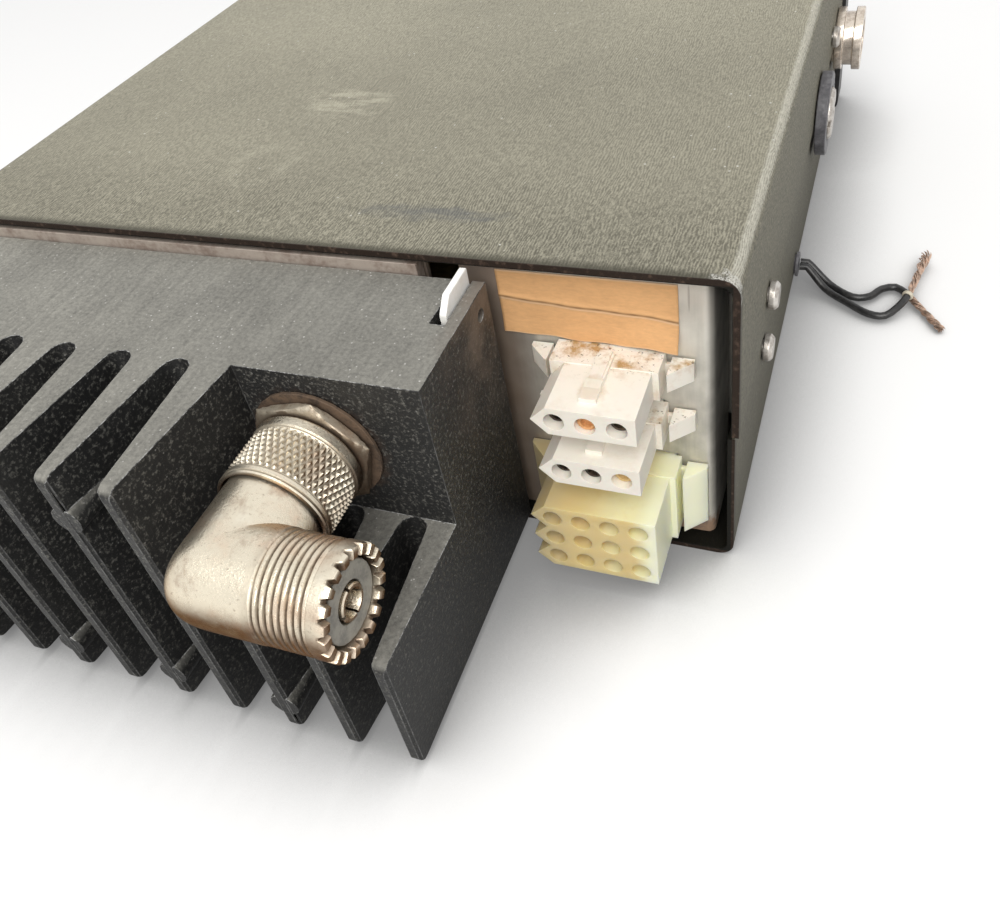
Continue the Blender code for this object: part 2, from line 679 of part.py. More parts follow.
def make_label():
    """A bare kraft-paper label stuck to the rear panel above the connectors."""
    right = LABEL_SIDE - HALF_WIDTH
    top = CASE_HEIGHT - LABEL_DROP
    bottom = UPPER_PIN_Z + HOUSING_RISE + COLLAR_RISE + LABEL_PLUG_GAP
    y = PANEL_REAR + LABEL_GAP
    mesh = box((right, right + LABEL_WIDTH), (y, y + LABEL_THICKNESS), (bottom, top))
    return add_object("panel_label", mesh, "kraft_paper")


def make_main_board():
    """The main circuit board on the tray's standoffs."""
    bottom = TRAY_HEIGHT + STANDOFF_HEIGHT + FIT
    rear = PANEL_FRONT - BOARD_REAR_GAP
    mesh = box((-BOARD_WIDTH / 2, BOARD_WIDTH / 2), (rear - BOARD_LENGTH, rear),
               (bottom, bottom + BOARD_THICKNESS))
    return add_object("main_board", mesh, "circuit_board")


# Heat sink and amplifier

def sink_outline():
    """Plan of the heat sink across Z: a body with tapered fins and round-ended slots between them."""
    root = (FIN_PITCH - FIN_TIP) / 2 - FIN_TAPER
    outline = [(SINK_RIGHT, REAR)]
    for i in range(FIN_COUNT):
        right = SINK_RIGHT + i * FIN_PITCH
        left = right + FIN_TIP
        outline += [(right, FIN_REAR - FIN_CHAMFER), (right + FIN_CHAMFER, FIN_REAR),
                    (left - FIN_CHAMFER, FIN_REAR), (left, FIN_REAR - FIN_CHAMFER)]
        if i < FIN_COUNT - 1:
            middle = (left + right + FIN_PITCH) / 2
            outline += arc(middle, SINK_BODY_REAR + root, root, 180, 360, SLOT_STEPS)
    return outline + [(SINK_LEFT, REAR)]


def corner_cutter(z, way, x):
    """What rounds off the fins' rear edge below a level face (way 1) or above one (way -1)."""
    near, middle, clear = FIN_REAR - FIN_CORNER, z - way * FIN_CORNER, z + way * BITE
    outline = arc(near, middle, FIN_CORNER, way * 90, 0, CORNER_STEPS)
    outline += [(FIN_REAR + BITE, middle), (FIN_REAR + BITE, clear), (near, clear)]
    return prism(outline, "X", *x)


def boss_places():
    """Middles of the ejector bosses on every second fin, as (X, Z); those in the recess have none above."""
    places = []
    for i in range(FIRST_BOSS_FIN, FIN_COUNT - 1, BOSS_STEP):
        x = SINK_RIGHT + i * FIN_PITCH + FIN_TIP / 2
        places.append((x, SINK_BOTTOM + BOSS_RISE))
        if i >= RECESS_FINS:
            places.append((x, SINK_TOP - BOSS_DROP))
    return places


def make_heat_sink():
    """A hollow black casting, open to the front, with an antenna recess in its upper right corner."""
    sink = add_object("heat_sink", prism(sink_outline(), "Z", SINK_BOTTOM, SINK_TOP), "black_casting")
    cut(sink, box((SINK_RIGHT + SINK_WALL, SINK_LEFT - SINK_WALL), (REAR - BITE, SINK_INNER_REAR),
                  (SINK_BOTTOM + SINK_WALL, SINK_TOP - SINK_WALL)))
    recess_left = SINK_RIGHT + RECESS_FINS * FIN_PITCH - FIN_TAPER - RECESS_STEP
    cut(sink, box((SINK_RIGHT - BITE, recess_left), (SINK_BODY_REAR, FIN_REAR + BITE),
                  (SINK_TOP - RECESS_DROP, SINK_TOP + BITE)))
    whole, recess = (SINK_RIGHT - BITE, SINK_LEFT + BITE), (SINK_RIGHT - BITE, recess_left)
    cut(sink, corner_cutter(SINK_BOTTOM, -1, whole), corner_cutter(SINK_TOP, 1, whole),
        corner_cutter(SINK_TOP - RECESS_DROP, 1, recess))
    boss_end = FIN_REAR - BOSS_SETBACK
    join(sink, rods("Y", boss_places(), BOSS_RADIUS, boss_end - BOSS_LENGTH, boss_end))
    notch = SINK_RIGHT + NOTCH_WALL
    cut(sink, box((notch, notch + NOTCH_WIDTH), (REAR - BITE, REAR + NOTCH_LENGTH),
                  (SINK_TOP - NOTCH_DEPTH, SINK_TOP + BITE)))
    cut(sink, rods("Y", [(ANTENNA_X, ANTENNA_Z)], SOCKET_RADIUS + FIT,
                   SINK_INNER_REAR - BITE, SINK_BODY_REAR + BITE, ROUND_STEPS))
    cut(sink, rods("X", [(REAR + VENT_REACH, SINK_TOP - VENT_DROP)], VENT_RADIUS,
                   SINK_RIGHT - BITE, SINK_RIGHT + NOTCH_WALL + NOTCH_WIDTH / 2))
    return sink


def make_insulating_tab():
    """A white sheet tab that stands in the heat sink's notch."""
    right = SINK_RIGHT + NOTCH_WALL + FIT
    front, rear = REAR + FIT, REAR + FIT + TAB_LENGTH
    bottom, top = SINK_TOP - NOTCH_DEPTH + FIT, SINK_TOP + TAB_RISE
    outline = [(front, bottom), (rear, bottom), (rear, top - TAB_SLOPE), (rear - TAB_SLOPE, top),
               (front, top)]
    return add_object("insulating_tab", prism(outline, "X", right, right + TAB_THICKNESS), "white_sheet")


def make_amplifier():
    """The plate that closes the heat sink's front, the board on it and a transistor on the rear wall."""
    plate = box((SINK_RIGHT + PLATE_OFFSET, SINK_LEFT), (PANEL_REAR + FIT, REAR - FIT),
                (SINK_BOTTOM, SINK_TOP + PLATE_RISE))
    middle_x = (SINK_RIGHT + PLATE_OFFSET + SINK_LEFT) / 2
    middle_z = (SINK_BOTTOM + SINK_TOP) / 2
    board = box((middle_x - AMP_BOARD_WIDTH / 2, middle_x + AMP_BOARD_WIDTH / 2),
                (REAR, REAR + BOARD_THICKNESS),
                (middle_z - AMP_BOARD_HEIGHT / 2, middle_z + AMP_BOARD_HEIGHT / 2))
    seat = SINK_INNER_REAR - FIT
    left = ANTENNA_X + TRANSISTOR_OFFSET
    transistor = box((left - TRANSISTOR_WIDTH / 2, left + TRANSISTOR_WIDTH / 2),
                     (seat - TRANSISTOR_DEPTH, seat),
                     (middle_z - TRANSISTOR_HEIGHT / 2, middle_z + TRANSISTOR_HEIGHT / 2))
    return [add_object("amplifier_plate", plate, "brown_steel"),
            add_object("amplifier_board", board, "circuit_board"),
            add_object("power_transistor", transistor, "black_plastic")]


# Antenna socket and adapter

def make_antenna_socket():
    """The threaded socket through the recess wall, with its round washer and hexagon nut."""
    axis = (ANTENNA_X, 0, ANTENNA_Z)
    flange = SINK_INNER_REAR - FIT
    profile = [(flange - SOCKET_FLANGE, 0), (flange - SOCKET_FLANGE, SOCKET_FLANGE_RADIUS),
               (flange, SOCKET_FLANGE_RADIUS), (flange, SOCKET_RADIUS), (SOCKET_END, SOCKET_RADIUS),
               (SOCKET_END, SOCKET_BORE), (SOCKET_END - SOCKET_BORE_DEPTH, SOCKET_BORE),
               (SOCKET_END - SOCKET_BORE_DEPTH, 0)]
    washer = [(WASHER_Y, SOCKET_RADIUS + FIT), (WASHER_Y, WASHER_RADIUS),
              (WASHER_Y + WASHER_THICKNESS, WASHER_RADIUS),
              (WASHER_Y + WASHER_THICKNESS, SOCKET_RADIUS + FIT)]
    corner = NUT_FLATS / 2 / cos(pi / 6)
    turns = [NUT_TURN + pi * i / 3 for i in range(6)]
    hexagon = [(ANTENNA_X + corner * cos(t), ANTENNA_Z + corner * sin(t)) for t in turns]
    nut = add_object("antenna_nut", prism(hexagon, "Y", NUT_Y, NUT_Y + NUT_THICKNESS), "worn_nickel", axis)
    cut(nut, rods("Y", [(ANTENNA_X, ANTENNA_Z)], SOCKET_RADIUS + FIT, NUT_Y - BITE,
                  NUT_Y + NUT_THICKNESS + BITE, ROUND_STEPS))
    return [add_object("antenna_socket", turned(profile, "Y", axis), "worn_nickel", axis),
            add_object("antenna_washer", turned(washer, "Y", axis, ring=True), "rusty_steel", axis), nut]


def make_adapter():
    """The elbow with its captive ring, and the insulator and contact in its side outlet."""
    axis = (ANTENNA_X, 0, ANTENNA_Z)
    ring = [(RING_Y, RING_BORE), (RING_Y, RING_RADIUS), (RING_Y + RING_LENGTH, RING_RADIUS),
            (RING_Y + RING_LENGTH, RING_BORE)]
    neck = [(SOCKET_END + FIT, 0), (SOCKET_END + FIT, NECK_RADIUS)]
    neck += [(ELBOW_Y + a, r) for a, r in arc(0, 0, NECK_RADIUS, 90, 0, SLOT_STEPS)[:-1]]
    neck += [(ELBOW_Y + NECK_RADIUS, 0)]
    elbow = add_object("adapter_elbow", turned(neck, "Y", axis), "worn_nickel", axis)
    outlet_axis = [(ELBOW_Y, ANTENNA_Z)]
    join(elbow, rods("X", outlet_axis, OUTLET_RADIUS, OUTLET_END, ANTENNA_X, ROUND_STEPS))
    bore_end = OUTLET_END + OUTLET_BORE_DEPTH
    cut(elbow, rods("X", outlet_axis, OUTLET_BORE, OUTLET_END - BITE, bore_end, ROUND_STEPS))
    face = OUTLET_END + INSULATOR_SETBACK
    outlet = (0, ELBOW_Y, ANTENNA_Z)
    sleeve = [(face, CONTACT_RADIUS + FIT), (face, OUTLET_BORE - FIT), (bore_end - FIT, OUTLET_BORE - FIT),
              (bore_end - FIT, CONTACT_RADIUS + FIT)]
    tip = face - CONTACT_RISE
    contact = [(tip + CONTACT_BORE_DEPTH, 0), (tip + CONTACT_BORE_DEPTH, CONTACT_BORE), (tip, CONTACT_BORE),
               (tip, CONTACT_RADIUS), (bore_end - FIT, CONTACT_RADIUS), (bore_end - FIT, 0)]
    return [add_object("adapter_coupling_ring", turned(ring, "Y", axis, ring=True), "worn_nickel", axis),
            elbow,
            add_object("adapter_insulator", turned(sleeve, "X", outlet, ring=True), "grey_insulator", axis),
            add_object("adapter_contact", turned(contact, "X", outlet, SMALL_STEPS), "worn_nickel", axis)]


# Nylon connectors: columns, rows, and the place of the pin nearest the -X side and the top
CONNECTORS = {
    "power_plug_upper": (3, 1, UPPER_PIN_SIDE, UPPER_PIN_Z),
    "power_plug_lower": (3, 1, UPPER_PIN_SIDE, LOWER_PIN_Z),
    "accessory_plug": (4, ACCESSORY_ROWS, ACCESSORY_PIN_SIDE, ACCESSORY_PIN_Z),
}


def housing_box(columns, rows, pin_side, pin_z):
    """X and Z limits of a connector's body, without its pointed side."""
    right = pin_side - HALF_WIDTH - HOUSING_MARGIN
    left = pin_side - HALF_WIDTH + (columns - 1) * PIN_PITCH + HOUSING_SHOULDER
    return (right, left), (pin_z - (rows - 1) * PIN_PITCH - HOUSING_RISE, pin_z + HOUSING_RISE)


def housing_outline(columns, rows, pin_side, pin_z):
    """Outline of a connector's body across Y, with one point at its +X end for each row."""
    (right, left), (bottom, top) = housing_box(columns, rows, pin_side, pin_z)
    tip = left - HOUSING_SHOULDER + HOUSING_TIP
    step = (top - bottom) / rows
    outline = [(right, bottom), (left, bottom)]
    for i in range(rows):
        outline.append((tip, bottom + (i + 0.5) * step))
        outline.append((left, bottom + (i + 1) * step))
    return outline + [(right, top)]


def make_connector(name, finish, latch):
    """A nylon pin housing: body with a pointed side, a collar on the panel, two ears and pin holes."""
    columns, rows, pin_side, pin_z = CONNECTORS[name]
    x, z = housing_box(columns, rows, pin_side, pin_z)
    face = REAR + HOUSING_FACE
    seat = PANEL_REAR + FIT
    collar = (x[0] - COLLAR_MARGIN, x[1] - HOUSING_SHOULDER + HOUSING_TIP)
    outline = housing_outline(columns, rows, pin_side, pin_z)
    housing = add_object(name, prism(outline, "Y", seat + BITE, face), finish)
    join(housing, box(x, (PANEL_FRONT - HOUSING_INSIDE, seat + 2 * BITE), z))
    join(housing, box(collar, (seat, REAR + COLLAR_FRONT), (z[0] - COLLAR_RISE, z[1] + COLLAR_RISE)))
    for edge, way in ((collar[0], -1), (collar[1], 1)):
        near = edge + way * EAR_GAP
        far = near + way * EAR_WIDTH
        web = sorted((edge - way * BITE, near + way * BITE))
        ear = [(near, seat), (near, REAR + COLLAR_FRONT - EAR_TRIM), (far, seat + EAR_WEB), (far, seat)]
        bridge = (z[0] + EAR_BRIDGE_TRIM, z[1] - EAR_BRIDGE_TRIM)
        join(housing, box(web, (seat + EAR_RELIEF, seat + EAR_WEB), bridge))
        join(housing, prism(ear, "Z", z[0] + EAR_TRIM, z[1] - EAR_TRIM))
    if latch:
        middle = pin_side - HALF_WIDTH + (columns - 1) / 2 * PIN_PITCH
        join(housing, box((middle - LATCH_WIDTH / 2, middle + LATCH_WIDTH / 2),
                          (REAR, REAR + COLLAR_FRONT + LATCH_LENGTH),
                          (z[1] - BITE, z[1] + LATCH_HEIGHT)))
    pins = [(pin_side - HALF_WIDTH + i * PIN_PITCH, pin_z - j * PIN_PITCH)
            for i in range(columns) for j in range(rows)]
    cut(housing, rods("Y", pins, PIN_RADIUS, face - PIN_DEPTH, face + BITE, ROUND_STEPS))
    return housing


# Side fittings

def make_side_mount(side, word):
    """A slotted mounting screw and its black cushion on one side of the case."""
    axis = (0, MOUNT_Y, SEAM_HEIGHT)
    base = HALF_WIDTH + FIT
    seat = base + CUSHION_THICKNESS - CUSHION_SEAT
    hole, pocket = MOUNT_SHANK_RADIUS + FIT, MOUNT_HEAD_RADIUS + FIT
    cushion = [(base, hole), (base, CUSHION_RADIUS), (base + CUSHION_THICKNESS, CUSHION_RADIUS),
               (base + CUSHION_THICKNESS, pocket), (seat, pocket), (seat, hole)]
    head = seat + FIT
    made = add_object(f"mount_cushion_{word}",
                      turned([(side * a, r) for a, r in cushion], "X", axis, ring=True), "black_rubber", axis)
    mesh = screw_mesh(MOUNT_HEAD_RADIUS, MOUNT_HEAD_HEIGHT, MOUNT_HEAD_EDGE, MOUNT_SHANK_RADIUS,
                      head - RAIL_INNER - FIT)
    screw = add_object(f"mount_screw_{word}", mesh, "screw_steel")
    cut(screw, box((MOUNT_HEAD_HEIGHT - MOUNT_SLOT_DEPTH, MOUNT_HEAD_HEIGHT + BITE),
                   (-MOUNT_HEAD_RADIUS - BITE, MOUNT_HEAD_RADIUS + BITE),
                   (-MOUNT_SLOT_WIDTH / 2, MOUNT_SLOT_WIDTH / 2)))
    screw.location = (side * head, MOUNT_Y, SEAM_HEIGHT)
    screw.rotation_euler = (0, 0, 0 if side > 0 else pi)
    return [made, screw]


def make_mic_socket():
    """The chromed microphone socket on the -X side and the black insert in its mouth."""
    axis = (0, MIC_Y, SEAM_HEIGHT)
    base = HALF_WIDTH + FIT
    groove = base + MIC_FLANGE
    rim = groove + MIC_GROOVE
    mouth = rim + MIC_RIM
    floor = mouth - MIC_BORE_DEPTH
    tail = CHASSIS_INNER - MIC_TAIL
    shell = [(tail, 0), (tail, MIC_BARREL_RADIUS), (base, MIC_BARREL_RADIUS), (base, MIC_FLANGE_RADIUS),
             (groove, MIC_FLANGE_RADIUS), (groove, MIC_GROOVE_RADIUS), (rim, MIC_GROOVE_RADIUS),
             (rim, MIC_FLANGE_RADIUS), (mouth, MIC_FLANGE_RADIUS), (mouth, MIC_BORE), (floor, MIC_BORE),
             (floor, 0)]
    insert = [(floor + FIT, 0), (floor + FIT, MIC_BORE - FIT), (mouth - MIC_INSERT_SETBACK, MIC_BORE - FIT),
              (mouth - MIC_INSERT_SETBACK, 0)]
    return [add_object("mic_socket", turned([(-a, r) for a, r in shell], "X", axis), "bright_chrome", axis),
            add_object("mic_insert", turned([(-a, r) for a, r in insert], "X", axis), "black_plastic", axis)]


# Speaker

def make_speaker():
    """A small speaker over the bottom slots: a basket with its magnet, and the paper cone in it."""
    axis = (SPEAKER_X, SPEAKER_Y, 0)
    floor = SHEET + FIT
    rim_top = floor + SPEAKER_RIM
    neck = rim_top + BASKET_HEIGHT
    magnet = neck + MAGNET_HEIGHT
    throat = MAGNET_RADIUS - BASKET_SHEET
    edge = CONE_EDGE + RUNNING_FIT
    basket = [(neck - BASKET_SHEET, 0), (neck - BASKET_SHEET, throat), (rim_top, edge), (floor, edge),
              (floor, SPEAKER_RADIUS), (rim_top, SPEAKER_RADIUS), (rim_top, edge + BASKET_SHEET),
              (neck, MAGNET_RADIUS), (magnet, MAGNET_RADIUS), (magnet, 0)]
    lift = neck - BASKET_SHEET - FIT
    rim = rim_top - CONE_SHEET
    outer = CONE_EDGE - FIT
    cone = [(lift - CONE_SHEET, 0), (lift - CONE_SHEET, CONE_THROAT), (rim, outer - CONE_RIM), (rim, outer),
            (lift, CONE_THROAT + CONE_SHEET), (lift, 0)]
    return [add_object("speaker_basket", turned(basket, "Z", axis), "zinc_steel", axis),
            add_object("speaker_cone", turned(cone, "Z", axis), "paper_cone", axis)]


# Lead wires: routes on the standing surface, from the grommet to the stripped ends
WIRE_START_X = -(BOTTOM_HALF_WIDTH + GROMMET_FLANGE + 2 * FIT)
WIRE_SIDE = WIRE_RADIUS + FIT / 2
WIRE_FLOOR = WIRE_RADIUS + FIT
WIRE_LEAD_X = WIRE_START_X - 2 * WIRE_RADIUS
WIRE_ROUTES = {
    "a": [(WIRE_START_X, GROMMET_Y - WIRE_SIDE, GROMMET_HEIGHT),
          (WIRE_LEAD_X, GROMMET_Y - WIRE_SIDE, GROMMET_HEIGHT), (-0.0880, 0.0050, 0.0020),
          (-0.0934, 0.0085, 0.0015), (-0.0972, 0.0076, 0.0014), (-0.0996, 0.0042, 0.0013),
          (-0.1026, 0.0028, WIRE_FLOOR), (-0.1050, 0.0048, WIRE_FLOOR)],
    "b": [(WIRE_START_X, GROMMET_Y + WIRE_SIDE, GROMMET_HEIGHT),
          (WIRE_LEAD_X, GROMMET_Y + WIRE_SIDE, GROMMET_HEIGHT), (-0.0872, 0.0070, 0.0020),
          (-0.0926, 0.0110, 0.0015), (-0.0972, 0.0142, 0.0014), (-0.1010, 0.0146, 0.0016),
          (-0.1040, 0.0112, 0.0026), (-0.1055, 0.0076, 0.0031)],
}
STRAND_ROUTES = {
    "a": [(-0.1084, 0.0104, 0.0012), (-0.1130, 0.0176, 0.0012)],
    "b": [(-0.1070, 0.0004, 0.0030), (-0.1088, -0.0098, 0.0026)],
}


def smooth_points(route, spacing):
    """Points about this far apart on a Catmull-Rom curve through a route's own points."""
    places = [Vector(p) for p in route]
    padded = [2 * places[0] - places[1]] + places + [2 * places[-1] - places[-2]]
    points = [places[0]]
    for before, start, stop, after in zip(padded, padded[1:], padded[2:], padded[3:]):
        count = max(1, round((stop - start).length / spacing))
        for i in range(1, count + 1):
            t = i / count
            slope = (stop - before) * t + (2 * before - 5 * start + 4 * stop - after) * t ** 2
            points.append(start + (slope + (3 * start - before - 3 * stop + after) * t ** 3) / 2)
    return points


def add_tube(name, points, radii, finish):
    """A round tube with filled ends along points, thinning where its radii do."""
    curve = bpy.data.curves.new(name, "CURVE")
    curve.dimensions = "3D"
    curve.bevel_depth = radii[0]
    curve.bevel_resolution = 2
    curve.use_fill_caps = True
    line = curve.splines.new("POLY")
    line.points.add(len(points) - 1)
    for point, place, radius in zip(line.points, points, radii):
        point.co = (*place, 1)
        point.radius = radius / radii[0]
    curve.materials.append(finish_material(finish))
    obj = bpy.data.objects.new(name, curve)
    bpy.context.scene.collection.objects.link(obj)
    return obj


def make_lead_wires():
    """The rubber grommet, two short insulated wires on the floor and their stripped copper ends."""
    axis = (0, GROMMET_Y, GROMMET_HEIGHT)
    outer = BOTTOM_HALF_WIDTH + FIT
    inner = BOTTOM_HALF_WIDTH - SHEET - GROMMET_INSIDE
    profile = [(inner, 0), (inner, GROMMET_RADIUS), (outer, GROMMET_RADIUS), (outer, GROMMET_FLANGE_RADIUS),
               (outer + GROMMET_FLANGE, GROMMET_FLANGE_RADIUS), (outer + GROMMET_FLANGE, 0)]
    made = [add_object("wire_grommet", turned([(-a, r) for a, r in profile], "X", axis, SMALL_STEPS),
                       "black_rubber", axis)]
    for word, route in WIRE_ROUTES.items():
        points = smooth_points(route, WIRE_STEP * 2 * WIRE_RADIUS)
        made.append(add_tube(f"lead_wire_{word}", points, [WIRE_RADIUS] * len(points), "wire_vinyl"))
        start = points[-1] + (points[-1] - points[-2]).normalized() * FIT
        strands = smooth_points([start] + STRAND_ROUTES[word], WIRE_STEP * 2 * STRAND_RADIUS)
        last = len(strands) - 1
        radii = [STRAND_RADIUS + (STRAND_TIP_RADIUS - STRAND_RADIUS) * i / last for i in range(last + 1)]
        made.append(add_tube(f"copper_end_{word}", strands, radii, "bare_copper"))
    return made


# Front

def window_limits(margin=0.0):
    """X and Z limits of the channel dial's window, grown by a margin."""
    x = CHANNEL_X - WINDOW_REACH
    return ((x - WINDOW_WIDTH / 2 - margin, x + WINDOW_WIDTH / 2 + margin),
            (CHANNEL_Z - WINDOW_HEIGHT / 2 - margin, CHANNEL_Z + WINDOW_HEIGHT / 2 + margin))


def meter_limits(margin=0.0):
    """X and Z limits of the meter's opening, grown by a margin."""
    return ((METER_X - METER_WIDTH / 2 - margin, METER_X + METER_WIDTH / 2 + margin),
            (METER_Z - METER_HEIGHT / 2 - margin, METER_Z + METER_HEIGHT / 2 + margin))


def button_limits(x, margin=0.0):
    """X and Z limits of a push button, grown by a margin."""
    return ((x - BUTTON_WIDTH / 2 - margin, x + BUTTON_WIDTH / 2 + margin),
            (BUTTON_Z - BUTTON_HEIGHT / 2 - margin, BUTTON_Z + BUTTON_HEIGHT / 2 + margin))


def cut_front_openings(plate):
    """Openings for the shafts, the meter, the dial window and the buttons."""
    depth = (BEZEL_FRONT - BITE, WALL_BACK + BITE)
    cut(plate, rods("Y", [(VOLUME_X, SMALL_KNOB_Z), (SQUELCH_X, SMALL_KNOB_Z)], BUSH_RADIUS + FIT, *depth))
    cut(plate, rods("Y", [(CHANNEL_X, CHANNEL_Z)], SHAFT_BORE, *depth))
    for x, z in [meter_limits(), window_limits()] + [button_limits(x, RUNNING_FIT) for x in BUTTON_X]:
        cut(plate, box(x, depth, z))


def make_front_frame():
    """The black front frame with its wall, and the brushed fascia plate set into it."""
    outer = rounded_rectangle((-HALF_WIDTH - BEZEL_MARGIN, HALF_WIDTH + BEZEL_MARGIN), (0, BEZEL_TOP),
                              BEZEL_CORNER)
    frame = add_object("front_bezel", prism(outer, "Y", BEZEL_FRONT, BEZEL_BACK), "black_plastic")
    inner_x = (-BEZEL_INNER_X, BEZEL_INNER_X)
    inner_z = (BEZEL_RIM, BEZEL_TOP - BEZEL_RIM)
    cut(frame, box(inner_x, (BEZEL_FRONT - BITE, WALL_FRONT), inner_z))
    cut(frame, box(inner_x, (WALL_BACK, BEZEL_BACK + BITE), inner_z))
    cut_front_openings(frame)
    sheet = box((inner_x[0] + FIT, inner_x[1] - FIT), (FASCIA_FRONT, FASCIA_BACK),
                (inner_z[0] + FIT, inner_z[1] - FIT))
    fascia = add_object("fascia_plate", sheet, "brushed_aluminium")
    cut_front_openings(fascia)
    return [frame, fascia]


def knob_profile(radius, length, shaft_end):
    """Profile along Y of a knob with its shaft, which reaches back to shaft_end."""
    front = KNOB_BACK - length
    return [(front, 0), (front, radius - KNOB_TAPER - KNOB_EDGE), (front + KNOB_EDGE, radius - KNOB_TAPER),
            (KNOB_BACK, radius), (KNOB_BACK, SHAFT_RADIUS), (shaft_end, SHAFT_RADIUS), (shaft_end, 0)]


def make_small_control(word, x):
    """A rotary control behind the frame's wall, and the knob on its shaft."""
    axis = (x, 0, SMALL_KNOB_Z)
    front, back = WALL_BACK + FIT, WALL_BACK + FIT + CONTROL_DEPTH
    shaft_end = front + SHAFT_INSIDE
    body = [(shaft_end + FIT, 0), (shaft_end + FIT, SHAFT_BORE), (FASCIA_FRONT, SHAFT_BORE),
            (FASCIA_FRONT, BUSH_RADIUS), (front, BUSH_RADIUS), (front, CONTROL_RADIUS),
            (back, CONTROL_RADIUS), (back, 0)]
    knob = knob_profile(SMALL_KNOB_RADIUS, SMALL_KNOB_LENGTH, shaft_end)
    return [add_object(f"{word}_knob", turned(knob, "Y", axis), "black_plastic", axis),
            add_object(f"{word}_control", turned(body, "Y", axis, SMALL_STEPS), "zinc_steel", axis)]


def make_channel_selector():
    """The large channel knob, the dial on its shaft, the rotary switch and the dial's window."""
    axis = (CHANNEL_X, 0, CHANNEL_Z)
    shaft_end = SWITCH_FRONT + SHAFT_INSIDE
    knob = knob_profile(CHANNEL_RADIUS, CHANNEL_LENGTH, shaft_end)
    dial = [(DIAL_FRONT, SHAFT_RADIUS + FIT), (DIAL_FRONT, DIAL_RADIUS), (DIAL_BACK, DIAL_RADIUS),
            (DIAL_BACK, SHAFT_RADIUS + FIT)]
    half = SWITCH_SIDE / 2
    block = box((CHANNEL_X - half, CHANNEL_X + half), (SWITCH_FRONT, SWITCH_BACK),
                (CHANNEL_Z - half, CHANNEL_Z + half))
    switch = add_object("channel_switch", block, "black_plastic")
    cut(switch, rods("Y", [(CHANNEL_X, CHANNEL_Z)], SHAFT_BORE, SWITCH_FRONT - BITE, shaft_end + FIT))
    x, z = window_limits(-FIT)
    glass = box(x, (FASCIA_FRONT + FIT, FASCIA_FRONT + FIT + GLASS), z)
    return [add_object("channel_knob", turned(knob, "Y", axis), "black_plastic", axis),
            add_object("channel_dial", turned(dial, "Y", axis, ring=True), "dial_white", axis),
            switch, add_object("dial_window", glass, "clear_window")]


def make_meter():
    """The signal meter: an open tray with a pivot post, a needle on the post and a clear window."""
    x, z = meter_limits(METER_MARGIN)
    case = add_object("meter_case", box(x, (METER_FRONT, METER_BACK), z), "dial_white")
    inner_x = (x[0] + METER_WALL, x[1] - METER_WALL)
    inner_z = (z[0] + METER_WALL, z[1] - METER_WALL)
    floor = METER_BACK - METER_WALL
    cut(case, box(inner_x, (METER_FRONT - BITE, floor), inner_z))
    join(case, rods("Y", [(METER_X, PIVOT_Z)], PIVOT_RADIUS, floor - PIVOT_HEIGHT, floor + METER_WALL / 2))
    axis = (METER_X, NEEDLE_BACK, PIVOT_Z)
    hub = rods("Y", [(METER_X, PIVOT_Z)], PIVOT_RADIUS, NEEDLE_BACK - NEEDLE_HUB, NEEDLE_BACK)
    needle = add_object("meter_needle", hub, "needle_red", axis)
    middle = NEEDLE_BACK - NEEDLE_HUB / 2
    blade = box((METER_X - NEEDLE_WIDTH / 2, METER_X + NEEDLE_WIDTH / 2),
                (middle - NEEDLE_SHEET / 2, middle + NEEDLE_SHEET / 2),
                (PIVOT_Z, PIVOT_Z + NEEDLE_LENGTH))
    tilt = Matrix.Rotation(NEEDLE_TILT, 4, "Y")
    bmesh.ops.rotate(blade, verts=blade.verts, cent=axis, matrix=tilt)
    join(needle, blade)
    x, z = meter_limits(-FIT)
    glass = box(x, (FASCIA_FRONT + FIT, FASCIA_FRONT + FIT + GLASS), z)
    return [case, needle, add_object("meter_window", glass, "clear_window")]


def make_buttons():
    """Two push buttons that slide in the frame's wall, and the switch block behind them."""
    front = WALL_BACK + FIT
    stem_end = WALL_BACK + BUTTON_STEM
    pocket_end = stem_end + BUTTON_TRAVEL + FIT
    x0, z = button_limits(BUTTON_X[0], RUNNING_FIT + BUTTON_BOX_WALL)
    x1, z = button_limits(BUTTON_X[-1], RUNNING_FIT + BUTTON_BOX_WALL)
    block = add_object("button_switch", box((x0[0], x1[1]), (front, pocket_end + BUTTON_BOX_WALL), z),
                       "black_plastic")
    made = [block]
    for word, x in zip(("power", "tone"), BUTTON_X):
        hole_x, hole_z = button_limits(x, RUNNING_FIT)
        cut(block, box(hole_x, (front - BITE, pocket_end), hole_z))
        cap_x, cap_z = button_limits(x)
        origin = (x, FASCIA_FRONT, BUTTON_Z)
        made.append(add_object(f"{word}_button", box(cap_x, (FASCIA_FRONT - BUTTON_RISE, stem_end), cap_z),
                               "bright_chrome", origin))
    return made


